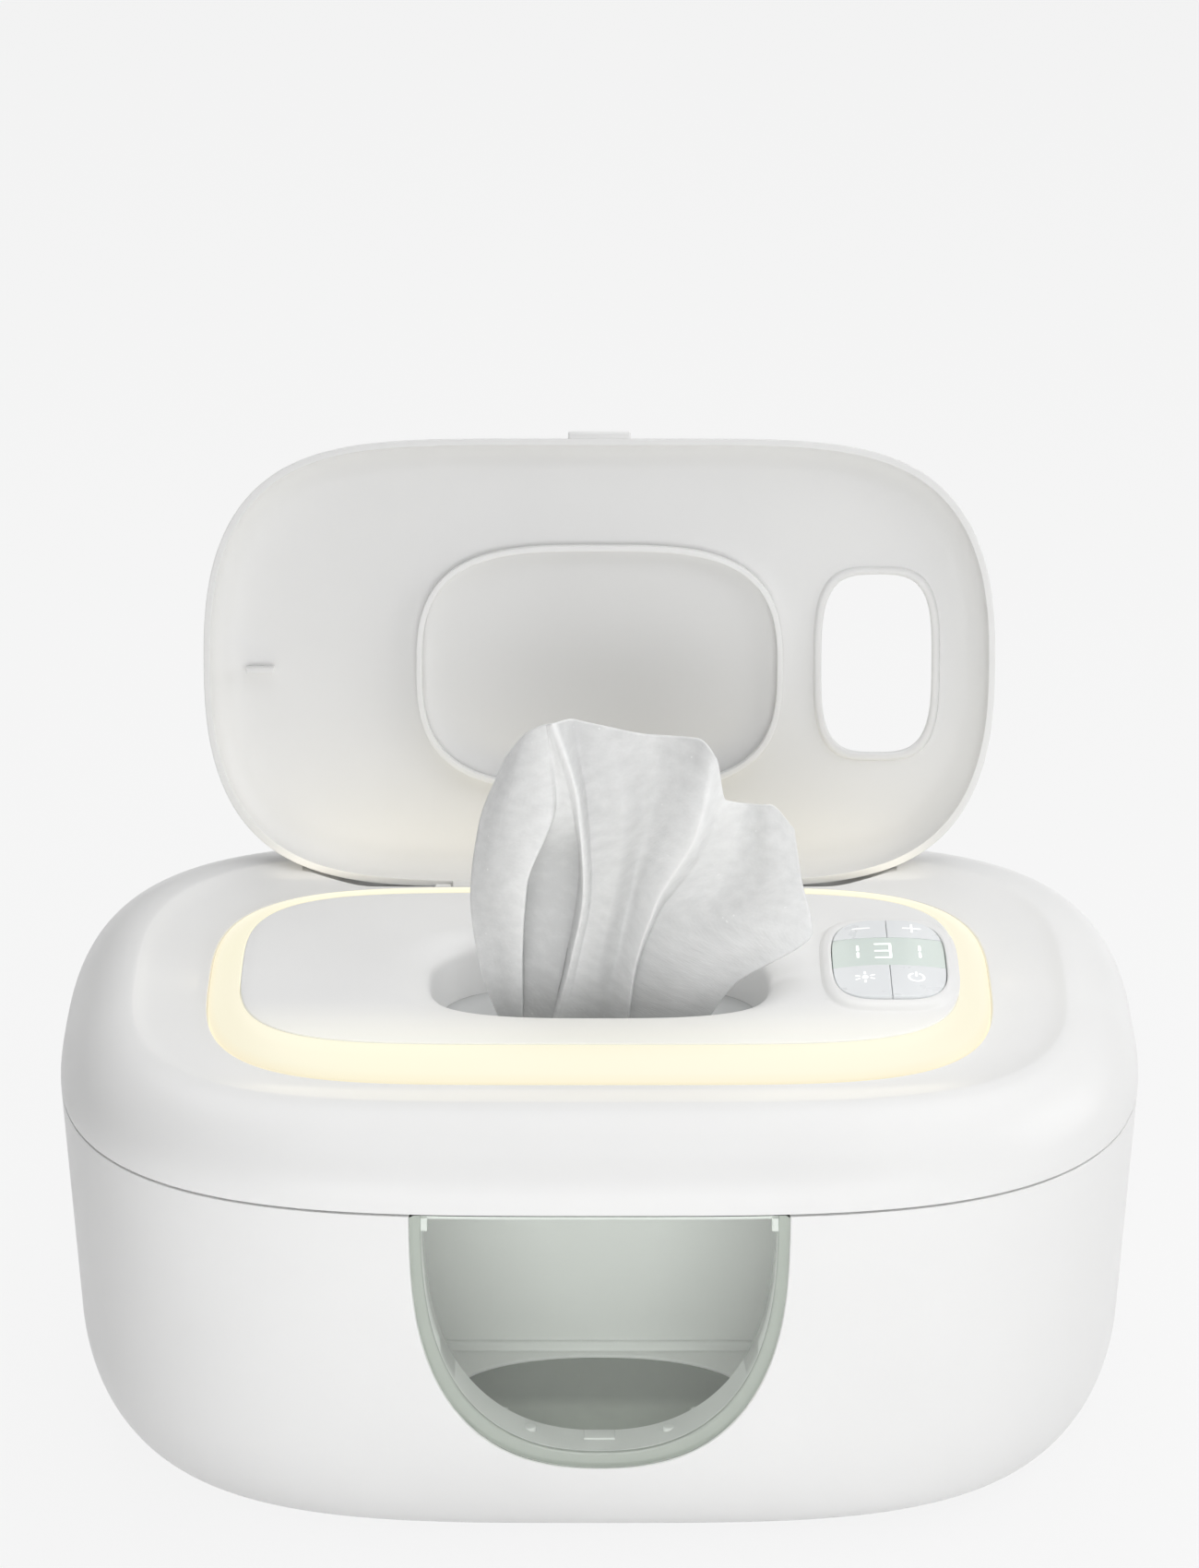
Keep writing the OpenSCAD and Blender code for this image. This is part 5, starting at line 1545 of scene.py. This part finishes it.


# ---------------------------------------------------------------------------
# Wipe
# ---------------------------------------------------------------------------

# Fold lines of the sheet, left to right: sideways places in millimetres at five even heights from
# the foot to the top, the top's height above the seam, how far forward the line lies at those
# heights, and how pale the cloth is painted there, from single to doubled; high values also paint
# highlights on the ridges, and low ones paint shade in the pocket
FOLDS = [
    ((-21, -26.5, -28.6, -26.7, -20.7), 69.3, (0, 0.5, -1.5, -3, -2), (.4, .3, .25, .3, .3)),
    ((-19.4, -22.4, -23.3, -19.8, -15.6), 77.0, (0, 1.1, 2.2, 2.2, 1), (.3, .25, .25, .25, .3)),
    ((-17.6, -17.4, -16.4, -10.6, -12.2), 78.9, (0, 3, 4.8, 3.4, 2), (.5, .85, 1, .8, .6)),
    ((-17, -17, -15.6, -9.4, -11.4), 79.2, (0, -2.5, -4.5, 1.8, 2.4), (.1, .05, 0, .7, .8)),
    ((-11.6, -7.2, -4.6, -6.4, -10.9), 79.6, (0, -2.5, -5, 2.6, 2.9), (.1, .05, 0, .8, .9)),
    ((-11, -6.4, -3.5, -4.8, -10.1), 79.9, (0, 3, 4.5, 4.6, 3.2), (.8, .9, .9, 1, 1)),
    ((-10.2, -5.5, -2.6, -3.9, -9), 79.6, (0, 2.4, 3.6, 3.6, 1.9), (.8, .75, .5, .2, .1)),
    ((-8.4, -4.2, -1.6, -2.6, -5.5), 78.7, (0, 1.2, 1.6, 0.6, -1.8), (.75, .6, .35, .2, 0)),
    ((-3.5, -0.5, 3, 4.4, 1), 77.3, (0, 1.6, 2.2, 1.6, -1.5), (.3, .3, .4, .4, .3)),
    ((0.5, 3.6, 7.4, 11, 12.6), 75.1, (0, -0.8, -1.3, -1, -1), (.25, .2, .25, .3, .4)),
    ((3.6, 6.1, 10.4, 17, 21.4), 75.6, (0, 1.2, 2.6, 3.2, 1.6), (.4, .6, .75, .55, .15)),
    ((5.6, 7.7, 12.5, 21.2, 25.4), 72.4, (0, 3.2, 6, 6.4, 4.2), (.7, .9, 1, 1, .6)),
    ((6.2, 8.1, 12.9, 21.8, 27.8), 59.7, (0, -0.9, -1.1, -1, -1), (.15, .15, .2, .65, .9)),
    ((10.5, 14.6, 22.5, 28.4, 32.2), 58.2, (0, 0.6, -0.6, -2.2, -2.5), (.45, .3, .35, .65, .6)),
    ((16.5, 22, 34.5, 37.6, 37.4), 59.7, (0, 1.8, 2.8, 2.5, 1.5), (.85, .85, .5, .25, .3)),
    ((22, 30, 47.4, 44.8, 43), 52.6, (0, 0.3, -0.8, -1.7, -1), (.9, 1, .8, .4, .4)),
]


def eased(values, at):
    """A smooth curve through values at 0, 1, 2 and on that never swings past them."""
    values = np.asarray(values, float)
    if values.ndim == 1:
        values = values[:, None]
    at = np.atleast_1d(at)
    step = np.diff(values, axis=0)
    slope = np.zeros_like(values)
    same = step[:-1] * step[1:] > 0
    total = np.where(same, step[:-1] + step[1:], 1)
    slope[1:-1] = np.where(same, 2 * step[:-1] * step[1:] / total, 0.0)
    slope[0], slope[-1] = step[0], step[-1]
    k = np.minimum(at.astype(int), len(values) - 2)
    t = (at - k)[:, None]
    return (values[k] * (1 + 2 * t) * (1 - t) ** 2 + slope[k] * t * (1 - t) ** 2
            + values[k + 1] * t * t * (3 - 2 * t) - slope[k + 1] * t * t * (1 - t))


def lengths(points, axis):
    """How far each point of a grid lies along its row (axis 1) or its column (axis 0)."""
    gaps = np.linalg.norm(np.diff(points, axis=axis), axis=2)
    return np.insert(np.cumsum(gaps, axis=axis), 0, 0.0, axis=axis)


class WARMER_OT_wipe(Operator):
    """Make the wipe that stands out of the mouth, folded and fanned out to the right"""
    bl_idname = "warmer.wipe"
    bl_label = "Wipe"
    WIDTH, RISE = 0.084, 0.076    # the shown part, laid flat

    def execute(self, context):
        c = context.scene.warmer_cover
        columns, rows = 14 * (len(FOLDS) - 1) + 1, 150
        across = np.linspace(0, len(FOLDS) - 1, columns)
        up = np.linspace(0, len(FOLDS[0][0]) - 1, rows)
        foot_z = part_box("wipe")[0].z
        lines = []
        for xs, top, forward, doubling_and_painted_light in FOLDS:
            rise = foot_z + (SEAM_Z + top * MM - foot_z) * up / up[-1]
            lines.append(np.column_stack([eased(xs, up) * MM, c.mouth_y - eased(forward, up) * MM,
                                          rise, eased(doubling_and_painted_light, up)]))
        grid = np.array([eased(row, across) for row in np.stack(lines, axis=1)])
        points, doubling_and_painted_light = grid[:, :, :3], grid[:, :, 3]
        # the cut edges are painted fully pale, as a highlight
        doubling_and_painted_light[-1:], doubling_and_painted_light[:, :1], doubling_and_painted_light[:, -1:] = 1.0, 1.0, 1.0    # the cut edges
        self.crumple(points)
        faces = [(r * columns + i, r * columns + i + 1, (r + 1) * columns + i + 1,
                  (r + 1) * columns + i) for r in range(rows - 1) for i in range(columns - 1)]
        wipe = plain_object("wipe_sheet", points.reshape(-1, 3), faces)
        # the map follows the cloth's own lengths, across and up
        layer = wipe.data.uv_layers.new(name="cloth")
        u, v = lengths(points, 1), lengths(points, 0)
        for loop in wipe.data.loops:
            place = divmod(loop.vertex_index, columns)
            layer.data[loop.index].uv = u[place], v[place]
        # the body attribute carries doubled cloth and painted light: ridge highlights, pocket shade and pale cut
        # edges
        body = wipe.data.attributes.new("body", "FLOAT", "POINT")
        body.data.foreach_set("value", doubling_and_painted_light.ravel().astype(np.float32))
        thick = wipe.modifiers.new("thickness", "SOLIDIFY")
        thick.thickness = 0.35 * MM
        thick.offset = 0.0
        thick.use_even_offset = False
        baked(wipe)
        outwards(wipe)
        for face in wipe.data.polygons:
            face.use_smooth = True
        dress(wipe, finishes(context)["wipe_cloth"])
        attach(wipe, "cover")
        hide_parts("wipe")
        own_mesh(wipe)
        return {"FINISHED"}

    def crumple(self, points):
        """Small uneven creases that run up the sheet."""
        rows, columns = points.shape[:2]
        for r in range(rows):
            v = r / (rows - 1)
            for i in range(columns):
                u = i / (columns - 1)
                fine = noise_at(Vector((u * 26, v * 5, 3.1)))
                broad = noise_at(Vector((u * 9, v * 3, 7.7)))
                points[r, i, 1] += (0.18 * fine + 0.55 * broad) * MM * min(1.0, 4 * v)


# ---------------------------------------------------------------------------
# Foot ring, gasket and screws
# ---------------------------------------------------------------------------

class WARMER_OT_fixings(Operator):
    """Make the foot ring, the cover's gasket and the screws"""
    bl_idname = "warmer.fixings"
    bl_label = "Foot ring, gasket and screws"

    def execute(self, context):
        looks = finishes(context)
        low, high = (corner.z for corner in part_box("foot_ring"))
        foot = band("rubber_foot", 78 * MM, 46 * MM, TUB_PQ, low, high, 5 * MM, 0.6 * MM,
                    looks["grey_rubber"])
        finished(foot, looks["grey_rubber"], "tub", ["foot_ring"])
        low, high = (corner.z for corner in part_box("cover_gasket"))
        gasket = band("gasket", HALF_W - 7.6 * MM, HALF_D - 7.6 * MM, TUB_PQ, low, high,
                      2.6 * MM, 0.7 * MM, looks["silicone_seal"])
        finished(gasket, looks["silicone_seal"], "cover", ["cover_gasket"])
        places = [(x, y) for x in (-66, 66) for y in (-42.5, 42.5)]
        held = screws("base_fixings", places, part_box("base_screws")[0].z, looks["steel"])
        finished(held, looks["steel"], "tub", ["base_screws"])
        places = [(x, y) for x in (-92, 92) for y in (-40, 40)] + [(-42, -60), (42, -60)]
        held = screws("cover_fixings", places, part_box("cover_screws")[0].z, looks["steel"])
        finished(held, looks["steel"], "cover", ["cover_screws"])
        return {"FINISHED"}


# ---------------------------------------------------------------------------
# Pieces that keep their CAD shape
# ---------------------------------------------------------------------------

class WARMER_OT_inner_parts(Operator):
    """Give every piece that keeps its CAD shape its own material"""
    bl_idname = "warmer.inner_parts"
    bl_label = "Inner parts"

    def execute(self, context):
        looks = finishes(context)
        for part in frame["record"]["subparts"]:
            node = frame["nodes"][part["node"]]
            if not node.hide_render:
                dress(node, looks[part["material_slot"]])
        return {"FINISHED"}


# ---------------------------------------------------------------------------
# Stage
# ---------------------------------------------------------------------------

FAINT = 0.1     # lamps of less power, in watts, aren't seen in gloss


class WARMER_OT_stage(Operator):
    """Make the floor, the lights and the camera"""
    bl_idname = "warmer.stage"
    bl_label = "Floor, light and camera"

    def execute(self, context):
        s = context.scene.warmer_stage
        scene = context.scene
        scene.view_settings.view_transform = "Standard"
        self.floor(s)
        self.world(scene, s)
        middle = (0, 0, 0.09)
        self.lamp("Back", (0, 0.45, 0.87), middle, (0.8, 0.6), 3.1)
        self.lamp("Front", (0, -0.495, 0.16), middle, (0.5, 0.25), 1.06)
        self.lamp("Side", (0.433, 0, 0.34), middle, (0.35, 0.35), 0.87)
        self.lamp("Top", (0, -0.104, 0.68), middle, (0.5, 0.4), 0.68)
        self.ring_light(context.scene.warmer_finish)
        self.camera(scene, s)
        return {"FINISHED"}

    def floor(self, s):
        half = 6.0
        floor = plain_object("floor", [(-half, -half, 0), (half, -half, 0), (half, half, 0),
                                       (-half, half, 0)], [(0, 1, 2, 3)])
        material, tree, main = shader("Floor")
        soft = noise(tree, 0.5, 1.0)
        tinted(tree, soft.outputs["Fac"], darker(tuple(s.floor), 0.995), tuple(s.floor),
               main.inputs["Base Color"])
        dial(main, Roughness=0.9, Specular_IOR_Level=0.0)
        # seen directly, in gloss and through the window, the floor is near white under its shadow
        path = tree.nodes.new("ShaderNodeLightPath").outputs
        seen = path["Is Camera Ray"]
        for ray in ("Is Glossy Ray", "Is Transmission Ray"):
            seen = reckoned(tree, "MAXIMUM", seen, path[ray])
        part = reckoned(tree, "MULTIPLY", seen, 1.0 - s.shadow)
        pale = tree.nodes.new("ShaderNodeEmission")
        dial(pale, Color=(s.backdrop, s.backdrop, s.backdrop))
        shader_blend(tree, part, main.outputs["BSDF"], pale.outputs["Emission"])
        floor.data.materials.append(material)

    def world(self, scene, s):
        world = bpy.data.worlds.new("Studio")
        world.use_nodes = True
        scene.world = world
        dial(world.node_tree.nodes["Background"], Color=(1.0, 1.0, 1.0), Strength=s.studio)

    def ring_light(self, f):
        """Thin warm lamps along the lit ring, which throw its light on the dish and the lid."""
        z, out = SEAM_Z + 18 * MM, 60 * MM
        warm = (1.0, 0.9, 0.68)
        for side in (-1, 1):
            y = side * (RING_B - 1 * MM)
            self.lamp("Ring light", (0, y, z), (0, y + side * out, z + out), (0.15, 0.006),
                      0.0035, warm)
            x = side * (RING_A - 1 * MM)
            self.lamp("Ring light", (x, 0, z), (x + side * out, 0, z + out), (0.006, 0.07),
                      0.0007, warm)

    def lamp(self, name, place, target, size, power, tone=(1.0, 1.0, 1.0)):
        data = bpy.data.lights.new(name, "AREA")
        data.shape = "RECTANGLE"
        data.size, data.size_y = size
        data.energy = power
        data.color = tone
        lamp = placed(name, data)
        lamp.visible_camera = False
        lamp.visible_glossy = power > FAINT
        lamp.location = place
        aim = Vector(target) - Vector(place)
        lamp.rotation_euler = aim.to_track_quat("-Z", "Y").to_euler()

    def camera(self, scene, s):
        data = bpy.data.cameras.new("Camera")
        data.lens = s.focal
        data.sensor_width = 36.0
        camera = placed("Camera", data)
        back = Vector((0.0, -math.cos(s.elevation), math.sin(s.elevation)))
        camera.location = Vector((0.0, 0.0, s.look_z)) + back * s.distance
        camera.rotation_euler = (-back).to_track_quat("-Z", "Y").to_euler()
        data.clip_start, data.clip_end = 0.05, 50.0
        scene.camera = camera


OPERATORS = [WARMER_OT_tub, WARMER_OT_window, WARMER_OT_tray, WARMER_OT_cover,
             WARMER_OT_light_ring, WARMER_OT_deck, WARMER_OT_keypad, WARMER_OT_lid,
             WARMER_OT_wipe, WARMER_OT_fixings, WARMER_OT_inner_parts, WARMER_OT_stage]


class WARMER_PT_sidebar(Panel):
    """Lists the warmer's pieces"""
    bl_label = "Wipe Warmer"
    bl_idname = "WARMER_PT_sidebar"
    bl_space_type = "VIEW_3D"
    bl_region_type = "UI"
    bl_category = "Wipe Warmer"

    def draw(self, context):
        for operator in OPERATORS:
            self.layout.operator(operator.bl_idname)
        for name in GROUPS:
            group = getattr(context.scene, name)
            box = self.layout.box()
            box.label(text=type(group).__name__)
            for key in group.bl_rna.properties.keys():
                if key not in ("rna_type", "name"):
                    box.prop(group, key)


def register():
    for group in GROUPS.values():
        bpy.utils.register_class(group)
    for name, group in GROUPS.items():
        setattr(bpy.types.Scene, name, PointerProperty(type=group))
    for operator in OPERATORS:
        bpy.utils.register_class(operator)
    bpy.utils.register_class(WARMER_PT_sidebar)


def unregister():
    bpy.utils.unregister_class(WARMER_PT_sidebar)
    for operator in reversed(OPERATORS):
        bpy.utils.unregister_class(operator)
    for name in GROUPS:
        delattr(bpy.types.Scene, name)
    for group in reversed(list(GROUPS.values())):
        bpy.utils.unregister_class(group)


def main():
    register()
    for operator in OPERATORS:
        area, name = operator.bl_idname.split(".")
        getattr(getattr(bpy.ops, area), name)()
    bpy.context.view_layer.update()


if __name__ == "__main__":
    main()
